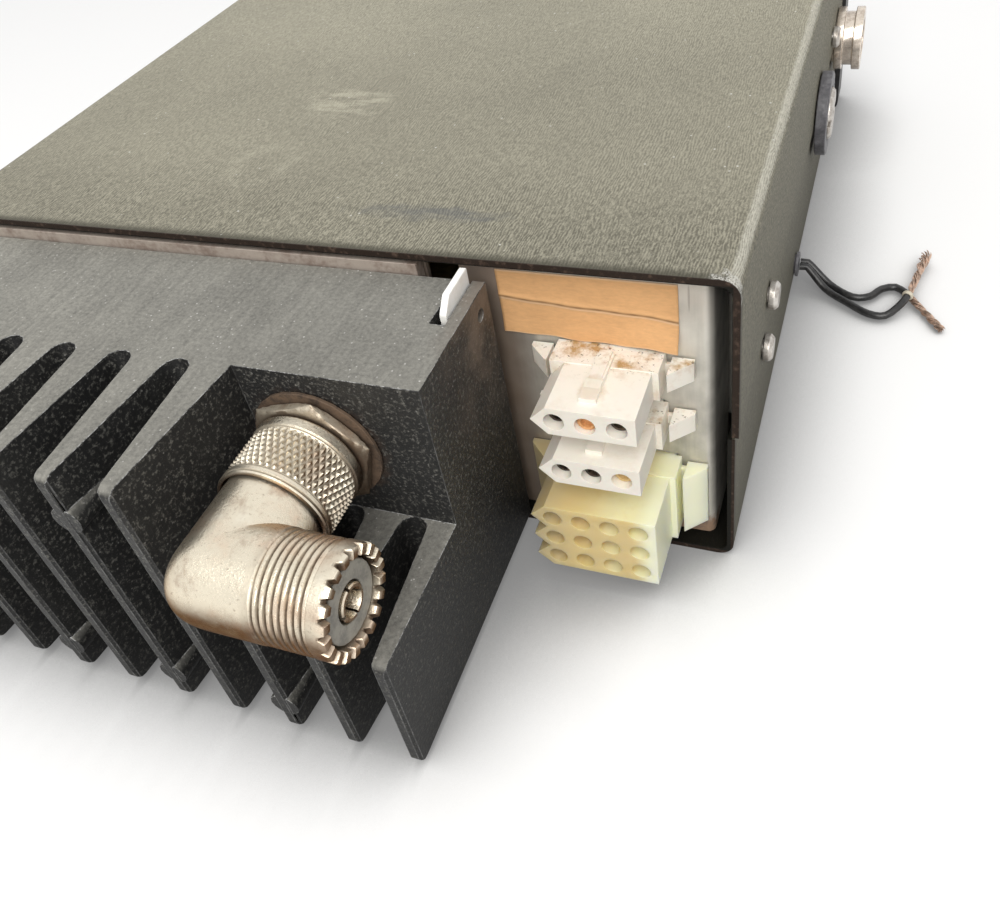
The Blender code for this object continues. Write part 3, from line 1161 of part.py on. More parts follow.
def main():
    """Build every piece, shade it smooth and hang it on one empty."""
    clear_scene()
    pieces = [make_top_cover(), make_bottom_cover(), make_chassis(), make_side_rail("side_rail_right", -1),
              make_side_rail("side_rail_left", 1), make_rear_panel(), make_label(), make_main_board(),
              make_heat_sink(), make_insulating_tab(),
              make_connector("power_plug_upper", "cream_nylon", True),
              make_connector("power_plug_lower", "cream_nylon", True),
              make_connector("accessory_plug", "clear_nylon", False)]
    pieces += make_cover_screws() + make_amplifier() + make_antenna_socket() + make_adapter()
    pieces += make_side_mount(-1, "right") + make_side_mount(1, "left") + make_mic_socket()
    pieces += make_speaker() + make_lead_wires() + make_front_frame() + make_channel_selector()
    pieces += make_small_control("volume", VOLUME_X) + make_small_control("squelch", SQUELCH_X)
    pieces += make_meter() + make_buttons()
    root = bpy.data.objects.new("transceiver", None)
    bpy.context.scene.collection.objects.link(root)
    for piece in pieces:
        piece.parent = root
        if piece.type == "MESH":
            piece.data.shade_smooth()
            piece.data.set_sharp_from_angle(angle=SMOOTH_ANGLE)


main()
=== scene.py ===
"""Looks of a vehicle FM transceiver: fine shapes and finishes on its packed CAD frame, in metres."""

import bmesh
import bpy
import numpy as np
from bpy.props import FloatProperty, FloatVectorProperty, IntProperty, PointerProperty
from mathutils import Matrix, Vector


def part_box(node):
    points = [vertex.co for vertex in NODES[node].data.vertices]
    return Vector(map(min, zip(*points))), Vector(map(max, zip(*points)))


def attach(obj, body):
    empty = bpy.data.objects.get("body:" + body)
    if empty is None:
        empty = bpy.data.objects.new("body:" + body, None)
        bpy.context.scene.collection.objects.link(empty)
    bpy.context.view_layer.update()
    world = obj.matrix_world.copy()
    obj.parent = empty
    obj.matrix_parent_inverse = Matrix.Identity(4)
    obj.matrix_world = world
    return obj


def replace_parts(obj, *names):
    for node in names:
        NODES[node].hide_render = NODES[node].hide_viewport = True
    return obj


bl_info = {
    "name": "Transceiver looks",
    "version": (1, 0, 0),
    "blender": (4, 5, 0),
    "location": "3D View > Sidebar > Transceiver",
    "description": "Finishes and fine detail of a vehicle FM transceiver with a finned rear casting",
    "category": "Object",
}

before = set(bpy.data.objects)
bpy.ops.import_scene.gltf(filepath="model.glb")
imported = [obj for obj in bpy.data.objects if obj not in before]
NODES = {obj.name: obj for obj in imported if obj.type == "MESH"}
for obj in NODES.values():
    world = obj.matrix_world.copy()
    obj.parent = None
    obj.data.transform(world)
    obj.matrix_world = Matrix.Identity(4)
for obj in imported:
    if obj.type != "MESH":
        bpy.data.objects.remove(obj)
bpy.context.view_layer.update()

AXES = {"X": np.array((1.0, 0.0, 0.0)), "Y": np.array((0.0, 1.0, 0.0)), "Z": np.array((0.0, 0.0, 1.0))}
SOCKETS = {"colour": "Base Color", "roughness": "Roughness", "metallic": "Metallic", "normal": "Normal",
           "alpha": "Alpha"}
TURN = 2 * np.pi
MERGE = 1e-6
EDGE_SEGMENTS = 3
SHARP = np.radians(32)


# Sizes and colours

def size(label, text, default):
    """A length that a user may change."""
    return FloatProperty(name=label, description=text, default=default, min=0.0, precision=5, unit="LENGTH",
                         subtype="DISTANCE")


def angle(label, text, default):
    """An angle that a user may change, given in degrees here."""
    return FloatProperty(name=label, description=text, default=np.radians(default), unit="ROTATION",
                         subtype="ANGLE")


def share(label, text, default):
    """A share from 0 to 1."""
    return FloatProperty(name=label, description=text, default=default, min=0.0, max=1.0, subtype="FACTOR")


def count(label, text, default):
    """A whole number."""
    return IntProperty(name=label, description=text, default=default, min=1)


def tint(label, text, default):
    """A colour as linear red, green and blue."""
    return FloatVectorProperty(name=label, description=text, default=default, size=3, min=0.0, max=1.0,
                               subtype="COLOR")


def place(label, text, default):
    """A point or direction in the part's frame."""
    return FloatVectorProperty(name=label, description=text, default=default, size=3, precision=5,
                               subtype="XYZ")


class StageLook(bpy.types.PropertyGroup):
    """Camera, lamps and floor."""
    eye: place("Eye", "Where the camera stands", (-0.09680, 0.19632, 0.14250))
    right: place("Right", "Direction of the picture's right", (-0.93016892, -0.33695742, -0.14575832))
    back: place("Back", "Direction from the object to the camera", (-0.34783979, 0.68185191, 0.64349472))
    lens: FloatProperty(name="Lens", description="Focal length on a 36 mm sensor", default=33.635,
                        unit="CAMERA", subtype="DISTANCE_CAMERA")
    shift: FloatVectorProperty(name="Shift", description="Sideways and upward shift of the picture", size=2,
                               default=(-0.0097, -0.0886), subtype="XYZ")
    floor: tint("Floor", "Paper under the object", (0.97, 0.97, 0.97))
    bounce: tint("Bounce", "The floor's colour in the light that it throws back", (0.24, 0.24, 0.235))
    contact: size("Contact shadow", "Reach of the darker paper close to the object", 0.030)
    glow: share("Glow", "Share of the floor that is plain white to the camera", 0.15)
    sky: share("Sky", "Strength of the light from overhead", 0.70)
    horizon: share("Horizon", "Strength of the light from the sides", 0.46)
    lamp: place("Lamp", "Where the large soft lamp hangs", (-0.22, 0.83, 0.86))
    lamp_aim: place("Lamp aim", "Point that the lamp faces", (0.0, 0.06, 0.03))
    lamp_colour: tint("Lamp colour", "Colour of the lamp's light", (1.0, 0.985, 0.955))
    lamp_size: size("Lamp size", "Width of the square lamp", 0.90)
    lamp_power: FloatProperty(name="Lamp power", description="Power of the large lamp", default=12.4, min=0.0,
                              unit="POWER")


class CaseLook(bpy.types.PropertyGroup):
    """Vinyl-clad covers and their screws."""
    vinyl: tint("Vinyl", "Clean vinyl in the grain's valleys", (0.060, 0.056, 0.042))
    # Painted sheen: this colour is dust and the sheen of the upward faces together.
    dust_and_sheen: tint("Dust", "Dust and sheen on the upward faces", (0.47, 0.445, 0.350))
    bend: tint("Bend", "Vinyl rubbed pale along the bends", (0.62, 0.60, 0.52))
    cut_edge: tint("Cut edge", "Rust on the sheet's cut edges", (0.024, 0.016, 0.012))
    grain: size("Grain", "Spacing of the wrinkles", 0.00041)
    relief: size("Relief", "Depth of the wrinkles", 0.00016)
    rub: tint("Rub", "Dark rubbed mark on the top", (0.105, 0.112, 0.122))
    speck: tint("Specks", "Pale specks on the vinyl", (0.66, 0.65, 0.60))
    bare: tint("Bare corner", "Metal at the rubbed rear corner", (0.62, 0.61, 0.57))
    sheet: size("Sheet", "Thickness of the covers", 0.0012)
    edge: size("Edge", "Rounding of the sheet's edges", 0.00022)


class PanelLook(bpy.types.PropertyGroup):
    """Zinc rear panel and its paper label."""
    zinc: tint("Zinc", "Dull zinc plate", (0.51, 0.49, 0.44))
    rust: tint("Rust", "Rust at the panel's lower corner", (0.22, 0.11, 0.05))
    paper: tint("Paper", "Kraft paper", (0.70, 0.400, 0.186))
    # Painted shadow of the casting on the panel's left part
    painted_sink_shadow: tint("Film", "Brown film on the panel's left part", (0.170, 0.110, 0.072))
    blush: tint("Blush", "Warm haze along the panel's top", (0.42, 0.345, 0.29))
    # Also the painted highlight below the label's fold
    rubbed_edge_and_highlight: tint("Lip", "Paper rubbed pale along its edges", (0.84, 0.62, 0.42))
    curl: size("Curl", "How far the label's lower corner stands off the panel", 0.0011)
    crease: size("Crease", "Height of the fold across the label", 0.00022)
    sheet: size("Sheet", "Thickness of the label's paper", 0.00018)


class SinkLook(bpy.types.PropertyGroup):
    """Black finned casting."""
    paint: tint("Paint", "Black paint on the casting", (0.019, 0.019, 0.019))
    # Painted sheen: this colour is dust and the sheen of the upward faces together.
    dust_and_sheen: tint("Dust", "Dust on the upward faces", (0.38, 0.37, 0.33))
    worn: tint("Worn edge", "Paint rubbed thin along edges", (0.42, 0.42, 0.41))
    speck: tint("Specks", "Pale specks on the paint", (0.70, 0.69, 0.66))
    # Painted light on the right wall's top, in a brown tint
    brown: tint("Brown", "Brown cast on the right wall", (0.21, 0.165, 0.13))
    stain: tint("Stain", "Rust stain round the antenna socket", (0.155, 0.095, 0.060))
    stain_reach: size("Stain reach", "Radius of the rust stain", 0.0128)
    edge: size("Edge", "Rounding of the casting's edges", 0.0009)


class AdapterLook(bpy.types.PropertyGroup):
    """Right-angle coaxial adapter, its nut and its ring."""
    nickel: tint("Nickel", "Worn nickel", (0.81, 0.735, 0.59))
    brass: tint("Brass", "Brass that shows through the nickel", (0.74, 0.50, 0.35))
    # Rubbed nickel, and a painted highlight on the upper faces
    rub_and_highlight: tint("Crest", "Nickel rubbed bright", (0.90, 0.85, 0.72))
    grime: tint("Grime", "Dirt in the grooves", (0.085, 0.060, 0.038))
    knurls: count("Knurls", "Diamonds round the ring", 48)
    knurl_length: size("Knurl length", "Length of a diamond along the axis", 0.00205)
    knurl_depth: size("Knurl depth", "Depth of the grooves between diamonds", 0.00050)
    front_band: size("Front band", "Plain band in front of the knurl", 0.0023)
    rear_band: size("Rear band", "Plain band behind the knurl", 0.0019)
    thread_pitch: size("Thread pitch", "Distance between the outlet's threads", 0.001058)
    thread_depth: size("Thread depth", "Depth of the outlet's thread", 0.00042)
    thread_length: size("Thread length", "Length of the outlet's thread", 0.0086)
    rim: size("Rim", "Plain rim between the thread and the teeth", 0.0016)
    teeth: count("Teeth", "Teeth round the outlet's mouth", 20)
    tooth: size("Tooth", "Height of a tooth", 0.0012)
    corner: share("Corner", "Roundness of the elbow's outer corner, 1 for a quarter circle", 0.68)
    wall: size("Wall", "Thickness of the outlet at its mouth", 0.0017)
    nut_flats: size("Nut flats", "Width across the nut's flats", 0.0190)
    nut_turn: angle("Nut turn", "Turn of the nut about its axis", 15)


class PlugLook(bpy.types.PropertyGroup):
    """Nylon connectors."""
    nylon: tint("Nylon", "Cream nylon", (0.91, 0.86, 0.77))
    stain: tint("Stain", "Yellow and brown stain on the nylon", (0.48, 0.30, 0.13))
    dirt: tint("Dirt", "Specks of dirt on the nylon", (0.13, 0.085, 0.045))
    latch_x: FloatProperty(name="Latch place", description="Where the latch tongues lie across the set",
                           default=-0.05897, precision=5, unit="LENGTH", subtype="DISTANCE")
    tongue: size("Tongue", "Width of a latch tongue", 0.0021)
    contact: size("Contact", "Radius of what closes a pin hole", 0.00155)
    clear_side: FloatProperty(name="Clear side", description="Where the clear plug turns pale across the set",
                              default=-0.0682, precision=5, unit="LENGTH", subtype="DISTANCE")
    clear: tint("Clear nylon", "Yellowed clear nylon", (0.71, 0.55, 0.265))
    clear_grey: tint("Clear grey", "Clear nylon in its shaded part", (0.44, 0.37, 0.24))
    # Painted light shining through the plug's thin side
    clear_lit_through: tint("Clear thin", "Clear nylon where it is thin", (0.97, 0.96, 0.68))
    clear_top: tint("Clear top", "Clear nylon on its lit top", (0.95, 0.92, 0.60))
    amber: tint("Amber", "Yellow patches in the clear nylon", (0.62, 0.42, 0.14))
    edge: size("Edge", "Rounding of the mouldings", 0.00022)


class CordLook(bpy.types.PropertyGroup):
    """Lead wires and their stripped ends."""
    radius: size("Wire radius", "Radius of the insulation", 0.00085)
    vinyl: tint("Insulation", "Black vinyl insulation", (0.012, 0.012, 0.013))
    copper: tint("Copper", "Tarnished copper strands", (0.56, 0.41, 0.32))
    tie: tint("Tie", "Cream thread round the wires", (0.66, 0.61, 0.50))
    strands: count("Strands", "Strands in a wire", 16)
    strand: size("Strand radius", "Radius of one strand", 0.00018)
    bundle: size("Bundle radius", "Radius of the twisted strands", 0.00066)


class FrontLook(bpy.types.PropertyGroup):
    """Front frame, knobs, dial and meter."""
    fascia: tint("Fascia", "Brushed aluminium", (0.56, 0.56, 0.55))
    mark: tint("Marks", "Ink of the scales and numbers", (0.02, 0.02, 0.02))
    pointer: tint("Pointer", "White pointer lines", (0.80, 0.80, 0.77))
    flutes: count("Flutes", "Flutes round the large knob", 36)
    flute_depth: size("Flute depth", "Depth of the flutes", 0.0005)
    numbers: count("Numbers", "Channel numbers round the dial", 12)
    number_height: size("Number height", "Height of the dial's numbers", 0.0048)
    scale_radius: size("Scale radius", "Radius of the meter's scale", 0.0102)
    meter_number: size("Meter number", "Height of the meter's numbers", 0.0020)


# Shader maths

class Value:
    """A shader socket in sums: each operator adds the Math node that works it out."""

    def __init__(self, nodes, socket):
        self.nodes = nodes
        self.socket = socket

    def math(self, operation, *others):
        """The Math node of an operation on this value and the others."""
        return self.nodes.node("ShaderNodeMath", {"operation": operation}, enumerate((self, *others)))

    def __add__(self, other):
        return self.math("ADD", other)

    def __sub__(self, other):
        return self.math("SUBTRACT", other)

    def __rsub__(self, other):
        return self.math("MULTIPLY_ADD", -1.0, other)

    def __mul__(self, other):
        return self.math("MULTIPLY", other)

    __radd__ = __add__
    __rmul__ = __mul__

    def rise(self, low, high):
        """A smooth rise from 0 at low to 1 at high; with low above high it falls instead."""
        return self.nodes.node("ShaderNodeMapRange", {"interpolation_type": "SMOOTHSTEP"},
                               {"Value": self, "From Min": low, "From Max": high})


class Nodes:
    """A node tree, and the one method that adds any node to it."""

    def __init__(self, tree):
        self.tree = tree

    def node(self, kind, settings=(), sockets=(), output=0):
        """Any node, from its type, its settings and its sockets' values or links; gives one output."""
        made = self.tree.nodes.new(kind)
        for word, value in dict(settings).items():
            setattr(made, word, value)
        for word, value in dict(sockets).items():
            if isinstance(value, Value):
                self.tree.links.new(value.socket, made.inputs[word])
            else:
                made.inputs[word].default_value = value
        return Value(self, made.outputs[output]) if made.outputs else None

    def seen(self):
        """1 for what the camera sees, straight, mirrored or through glass, and 0 for scattered light."""
        straight, mirrored, through = (self.node("ShaderNodeLightPath", output=f"Is {word} Ray")
                                       for word in ("Camera", "Glossy", "Transmission"))
        return straight.math("MAXIMUM", mirrored).math("MAXIMUM", through)


class Finish(Nodes):
    """A material with one Principled shader, and the nodes that feed it."""

    def __init__(self, name, constants=()):
        self.material = bpy.data.materials.new(name)
        self.material.use_nodes = True
        super().__init__(self.material.node_tree)
        self.shader = self.tree.nodes["Principled BSDF"]
        for word, value in dict(constants).items():
            self.shader.inputs[word].default_value = value
        self.place = self.node("ShaderNodeTexCoord", output="Object")

    def feed(self, **links):
        """Link values to the shader's sockets and give back the material."""
        for word, value in links.items():
            self.tree.links.new(value.socket, self.shader.inputs[SOCKETS[word]])
        return self.material

    def along(self, axis):
        """Object coordinate along one axis."""
        return self.node("ShaderNodeSeparateXYZ", sockets={0: self.place}, output=axis)

    def up(self):
        """How far a face looks up, from -1 to 1."""
        normal = self.node("ShaderNodeTexCoord", output="Normal")
        return self.node("ShaderNodeSeparateXYZ", sockets={0: normal}, output="Z")

    def stored(self, name):
        """A value that the mesh keeps at its points."""
        return self.node("ShaderNodeAttribute", {"attribute_name": name}, output="Fac")

    def scaled(self, stretch, shift=(0, 0, 0)):
        """Object coordinates, moved and then multiplied."""
        moved = self.node("ShaderNodeVectorMath", {"operation": "SUBTRACT"}, {0: self.place, 1: shift})
        return self.node("ShaderNodeVectorMath", {"operation": "MULTIPLY"}, {0: moved, 1: stretch})

    def noise(self, scale, detail=3.0, roughness=0.55, stretch=None, distortion=0.0):
        """Cloudy noise with so many features to the metre."""
        vector = self.scaled(stretch) if stretch else self.place
        return self.node("ShaderNodeTexNoise", sockets={"Vector": vector, "Scale": scale, "Detail": detail,
                                                        "Roughness": roughness, "Distortion": distortion})

    def cells(self, scale):
        """Distance to the nearest of scattered points, so many to the metre."""
        return self.node("ShaderNodeTexVoronoi", sockets={"Vector": self.place, "Scale": scale},
                         output="Distance")

    def patch(self, middle, reach, ragged=0.35, scale=260.0):
        """1 inside a ragged ellipsoid about a point and 0 outside."""
        inside = self.scaled([1 / r for r in reach], middle)
        far = self.node("ShaderNodeVectorMath", {"operation": "LENGTH"}, {0: inside}, "Value")
        return (far + (self.noise(scale) - 0.5) * ragged * 2).rise(1.0, 0.55)

    def mix(self, first, second, factor):
        """A colour between two, by a value or a number."""
        colours = {key: value if isinstance(value, Value) else (*value, 1.0)
                   for key, value in ((6, first), (7, second))}
        return self.node("ShaderNodeMix", {"data_type": "RGBA"}, {0: factor, **colours}, 2)

    def bump(self, height, depth, strength=1.0):
        """A normal bent by a height, whose 1 stands for a depth in metres."""
        sockets = {"Height": height, "Distance": depth, "Strength": strength}
        return self.node("ShaderNodeBump", sockets=sockets, output="Normal")


def shade(colour, factor):
    """A colour made darker or paler."""
    return tuple(min(1.0, c * factor) for c in colour)


# Marks on the top: a pale scuff, a loop and its hollow, and a dark rub, each with its place, half sizes,
# raggedness and features to the metre
SCUFFS = (
    ((0.0107, 0.0363), (0.013, 0.0075), 0.6, 160.0),
    ((0.0158, 0.0632), (0.0085, 0.0105), 0.3, 120.0),
    ((0.0158, 0.0632), (0.0060, 0.0080), 0.3, 120.0),
    ((-0.0257, 0.0760), (0.0175, 0.0030), 0.6, 240.0),
)
SCUFF_DEPTH = 0.01


def vinyl_finish(look):
    """Wrinkled vinyl: short ridges along Y, dusty on top with painted sheen, painted shade on the walls,
    nearly black inside in painted shade, pale at the bends, scuffed, with dark cut edges.
    """
    low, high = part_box("top_cover")
    made = Finish("wrinkled_vinyl", {"Specular IOR Level": 0.12})
    x, y, z = (made.along(axis) for axis in "XYZ")
    side = x.math("ABSOLUTE")
    short = made.noise(1 / look.grain, 2.0, 0.6, (1.0, 0.40, 1.0), 0.7)
    sway = made.noise(190.0, 3.0, 0.6, (1.0, 0.45, 1.0)) - 0.5
    wave = (((side - z) * (0.8 / look.grain) + sway * 6.0) * TURN).math("SINE") * 0.5 + 0.5
    fine = made.noise(1.6 / look.grain, 3.0, 0.7)
    plain = made.noise(26.0, 3.0, 0.6).rise(0.40, 0.66)
    height = short * 0.56 + wave * (0.14 - plain * 0.10) + fine * (0.30 + plain * 0.10)
    ridge = height.rise(0.34, 0.66)
    cloud = made.noise(20.0, 4.0, 0.6)
    rub = made.noise(130.0, 5.0, 0.65)
    flat = made.up()
    up = flat.rise(0.15, 0.95)
    bend = flat.rise(0.35, 0.60) * flat.rise(0.96, 0.84)
    rear = y.rise(high.y - 0.0004, high.y - 0.0026)
    clean = y.rise(high.y - 0.035, high.y - 0.004) * up
    # Dusty upward faces with painted sheen; painted shade on the walls, darkest towards the bottom and paler
    # near their top; darker towards the rear and along the rear edge, paler towards +X.
    dust_and_sheen = (ridge * (0.80 - up * 0.30) + 0.12 + up * 0.29) * (up * 0.44 + 0.54) * (cloud * 0.60 + 0.72)
    dust_and_sheen = dust_and_sheen * (1.18 - y.rise(low.y, high.y) * 0.36) * (rear * 0.80 + 0.20)
    dust_and_sheen = dust_and_sheen * (1 - (1 - up) * (0.54 - z.rise(0.0, high.z) * 1.15))
    dust_and_sheen = dust_and_sheen * (0.90 + x.rise(low.x, high.x) * 0.14) + rub.rise(0.58, 0.80) * up * 0.10
    dust_and_sheen = dust_and_sheen * (1 - clean * (1 - height.rise(0.36, 0.62)) * 0.42)
    streak = made.noise(420.0, 3.0, 0.6, (0.25, 1.0, 1.0)).rise(0.40, 0.62)
    pale, loop, hollow, dark = (made.patch((*spot, high.z), (*reach, SCUFF_DEPTH), ragged, scale)
                                for spot, reach, ragged, scale in SCUFFS)
    dust_and_sheen = dust_and_sheen + pale * streak * 0.30 + (loop - hollow) * (streak * 0.6 + 0.4) * 0.18
    colour = made.mix(look.vinyl, look.dust_and_sheen, dust_and_sheen)
    colour = made.mix(colour, look.bend, bend * (ridge * 0.6 + 0.4) * 0.75)
    colour = made.mix(colour, look.rub, dark * (streak * 0.6 + 0.3) * 0.60)
    speck = made.cells(330.0).rise(0.085, 0.045) * made.noise(60.0).rise(0.42, 0.60)
    speck = speck + made.cells(780.0).rise(0.10, 0.05) * rub.rise(0.50, 0.65) * 0.5
    colour = made.mix(colour, look.speck, speck * (up * 0.3 + 0.7))
    corner = made.patch((low.x + 0.0012, high.y, high.z - 0.0010), (0.0042, 0.0026, 0.0042), 0.9, 700.0)
    colour = made.mix(colour, look.bare, corner * fine.rise(0.40, 0.58))
    cut = y.rise(high.y - 0.00030, high.y - 0.00012)
    rust = made.mix(look.cut_edge, shade(look.cut_edge, 3.4), made.noise(900.0).rise(0.52, 0.76))
    colour = made.mix(colour, rust, cut)
    # Painted shade: the covers' inner faces are made nearly black.
    skin = look.sheet - 0.0002
    inside = side.math("LESS_THAN", high.x - look.sheet + 0.0001)
    inside = inside * z.math("LESS_THAN", high.z - skin) * z.math("GREATER_THAN", skin)
    colour = made.mix(colour, shade(look.vinyl, 0.12), inside)
    roughness = 0.56 + ridge * 0.08 + (cloud - 0.5) * 0.14
    return made.feed(colour=colour, roughness=roughness, normal=made.bump(height, look.relief, 0.9))


def casting_finish(look):
    """Speckled black paint on a casting: brushed and dusty on top with painted sheen, painted shade low on
    the walls, a brown tint paler towards the right wall's top in painted light, and a brown stain round the
    antenna socket.
    """
    low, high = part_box("heat_sink")
    washer_x, washer_y, washer_z = box_middle("antenna_washer")
    made = Finish("black_casting", {"Specular IOR Level": 0.22})
    x, y, z = (made.along(axis) for axis in "XYZ")
    grit = made.noise(1500.0, 3.0, 0.7)
    lump = made.noise(420.0, 4.0, 0.6)
    brushed = made.noise(900.0, 3.0, 0.6, (1.0, 0.10, 1.0))
    cloud = made.noise(55.0, 5.0, 0.6)
    up = made.up().rise(0.30, 0.97)
    # Dusty upward faces, paler partly as painted sheen and towards +X; grit on the walls.
    dust_and_sheen = up * (0.40 + cloud * 0.50 + (brushed - 0.5) * 0.45 + (grit - 0.5) * 0.90)
    dust_and_sheen = dust_and_sheen * (0.80 + x.rise(low.x, high.x) * 0.22)
    dust_and_sheen = dust_and_sheen + (1 - up) * (grit.rise(0.50, 0.72) * 0.32 + cloud.rise(0.45, 0.80) * 0.05)
    colour = made.mix(look.paint, look.dust_and_sheen, dust_and_sheen)
    speck = made.cells(900.0).rise(0.17, 0.08) * lump.rise(0.42, 0.60)
    colour = made.mix(colour, look.speck, speck * (0.22 + up * 0.42))
    # Painted light: a brown tint on the right wall, paler towards its top where light falls.
    brown = x.rise(low.x + 0.0040, low.x) * z.rise(0.026, high.z) * y.rise(0.112, 0.092)
    colour = made.mix(colour, look.brown, brown * made.noise(120.0, 5.0).rise(0.25, 0.70) * 0.75)
    # Painted shade: the walls are made darker towards the bottom.
    deep = z.rise(high.z * 0.7, low.z) * (1 - up)
    colour = made.mix(colour, shade(look.paint, 0.20), deep * 0.50)
    reach = look.stain_reach
    ring = made.patch((washer_x, washer_y, washer_z - 0.0007), (reach, 0.004, reach), 0.22, 420.0)
    stain = made.mix(look.stain, shade(look.stain, 0.45), made.noise(700.0, 4.0, 0.7).rise(0.40, 0.64))
    colour = made.mix(colour, stain, ring * lump.rise(0.20, 0.50) * 0.9)
    roughness = 0.50 + dust_and_sheen * 0.25 + (grit - 0.5) * 0.2
    height = grit * 0.8 + lump * 0.7 + brushed * up * 0.3
    return made.feed(colour=colour, roughness=roughness, normal=made.bump(height, 0.00016, 0.9))


def worn_finish(look):
    """Casting edges where the paint has rubbed thin: broken grey over black."""
    made = Finish("worn_edge", {"Specular IOR Level": 0.35})
    rub = made.noise(300.0, 5.0, 0.65)
    grit = made.noise(1700.0, 3.0, 0.7)
    up = made.up().rise(-0.25, 0.75)
    bare = (rub + (grit - 0.5) * 0.9).rise(0.36, 0.70) * (up * 0.90 + 0.08)
    colour = made.mix(shade(look.paint, 1.5), look.worn, bare)
    return made.feed(colour=colour, roughness=0.50 - bare * 0.12, metallic=bare * 0.15,
                     normal=made.bump(grit, 0.00012, 0.8))


def zinc_finish(look):
    """Dull zinc plate: mottled grey with faint streaks, scratches, rust at the lower right corner, and the
    casting's shadow painted brown over its left part.
    """
    low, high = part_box("rear_panel")
    made = Finish("zinc_plate")
    cloud = made.noise(75.0, 6.0, 0.65)
    spangle = made.cells(260.0)
    streak = made.noise(700.0, 3.0, 0.6, (1.0, 1.0, 0.06))
    tone = cloud * 0.7 + spangle * 0.25 + streak * 0.3
    colour = made.mix(shade(look.zinc, 0.66), shade(look.zinc, 1.28), tone.rise(0.32, 0.86))
    scratch = made.patch((low.x + 0.0037, high.y, 0.0560), (0.00022, 0.004, 0.0032), 0.1)
    colour = made.mix(colour, shade(look.zinc, 0.45), scratch * 0.6)
    corner = made.patch((low.x + 0.002, high.y, low.z + 0.0005), (0.0060, 0.006, 0.0052), 0.7, 420.0)
    spots = made.cells(600.0).rise(0.24, 0.10) * made.noise(45.0).rise(0.55, 0.72)
    rust = made.mix(look.rust, shade(look.rust, 0.45), made.noise(800.0).rise(0.40, 0.70))
    colour = made.mix(colour, rust, corner * 0.85 + spots * 0.35)
    # Painted shadow: the casting's shadow, painted brown over the panel's left part.
    painted_sink_shadow = made.along("X").rise(low.x + 0.026, low.x + 0.036) * (0.62 + cloud * 0.4)
    colour = made.mix(colour, look.painted_sink_shadow, painted_sink_shadow)
    blush = made.along("Z").rise(high.z - 0.012, high.z) * cloud.rise(0.3, 0.6)
    colour = made.mix(colour, look.blush, blush * 0.6)
    roughness = 0.40 + cloud * 0.22 + corner * 0.3
    return made.feed(colour=colour, roughness=roughness, metallic=0.55 - corner * 0.5,
                     normal=made.bump(cloud + streak * 0.4, 0.00005, 0.5))


def kraft_finish(look):
    """Kraft paper: fibres, a dirty left side, a thin line of painted shade along the fold, edges rubbed pale,
    and a painted highlight in a band below the fold.
    """
    low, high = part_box("panel_label")
    made = Finish("kraft_paper", {"Specular IOR Level": 0.2})
    fibre = made.noise(1500.0, 4.0, 0.65, (0.5, 1.0, 1.6))
    cloud = made.noise(70.0, 5.0, 0.6)
    tone = (fibre * 0.5 + cloud * 0.6).rise(0.28, 0.82)
    colour = made.mix(shade(look.paper, 0.84), shade(look.paper, 1.12), tone)
    dirt = made.along("X").rise(low.x + 0.010, high.x) * cloud.rise(0.35, 0.75)
    colour = made.mix(colour, shade(look.paper, 0.60), dirt * 0.40)
    # Top and bottom edges rubbed pale, and a painted highlight in a band below the fold.
    colour = made.mix(colour, look.rubbed_edge_and_highlight, made.stored("rubbed_edge_and_highlight") * 0.65)
    # Painted shade: a thin dark line along the fold.
    colour = made.mix(colour, shade(look.paper, 0.14), made.stored("fold") * (0.55 + fibre * 0.5))
    return made.feed(colour=colour, roughness=0.78 + fibre * 0.12, normal=made.bump(fibre, 0.00005, 0.6))


def nickel_finish(look):
    """Worn nickel over brass: pale rubbed patches that carry a painted highlight, smears, bare patches,
    painted shade on the downward faces, dirt in the grooves.
    """
    made = Finish("worn_nickel", {"Specular Tint": (*shade(look.brass, 0.6), 1.0)})
    cloud = made.noise(130.0, 5.0, 0.65)
    patch = made.noise(85.0, 4.0, 0.6, (1.0, 1.0, 1.6))
    smear = made.noise(260.0, 6.0, 0.72, (1.0, 0.6, 1.0))
    pit = made.noise(1900.0, 4.0, 0.7)
    grime = made.stored("grime")
    # Painted shade: the downward faces are made dark brown.
    painted_underside_shade = made.up().rise(0.56, 0.0)
    bare = patch.rise(0.46, 0.70) * 0.60
    colour = made.mix(look.nickel, look.brass, bare)
    colour = made.mix(colour, shade(look.brass, 0.14), painted_underside_shade * (0.84 + smear.rise(0.35, 0.65) * 0.16))
    # Nickel rubbed bright in patches, with a painted highlight: downward faces get none.
    colour = made.mix(colour, look.rub_and_highlight, cloud.rise(0.52, 0.72) * (1 - painted_underside_shade) * 0.6)
    colour = made.mix(colour, shade(look.brass, 0.48), smear.rise(0.50, 0.72) * 0.55)
    colour = made.mix(colour, shade(look.brass, 0.30), pit.rise(0.58, 0.70) * 0.50)
    colour = made.mix(colour, look.grime, grime * (0.85 + (pit - 0.5) * 0.6))
    roughness = 0.29 + (cloud - 0.5) * 0.26 + grime * 0.30 + (pit - 0.5) * 0.20
    return made.feed(colour=colour, roughness=roughness, metallic=0.92 - grime * 0.55,
                     normal=made.bump(pit + smear * 0.8, 0.00009, 0.8))


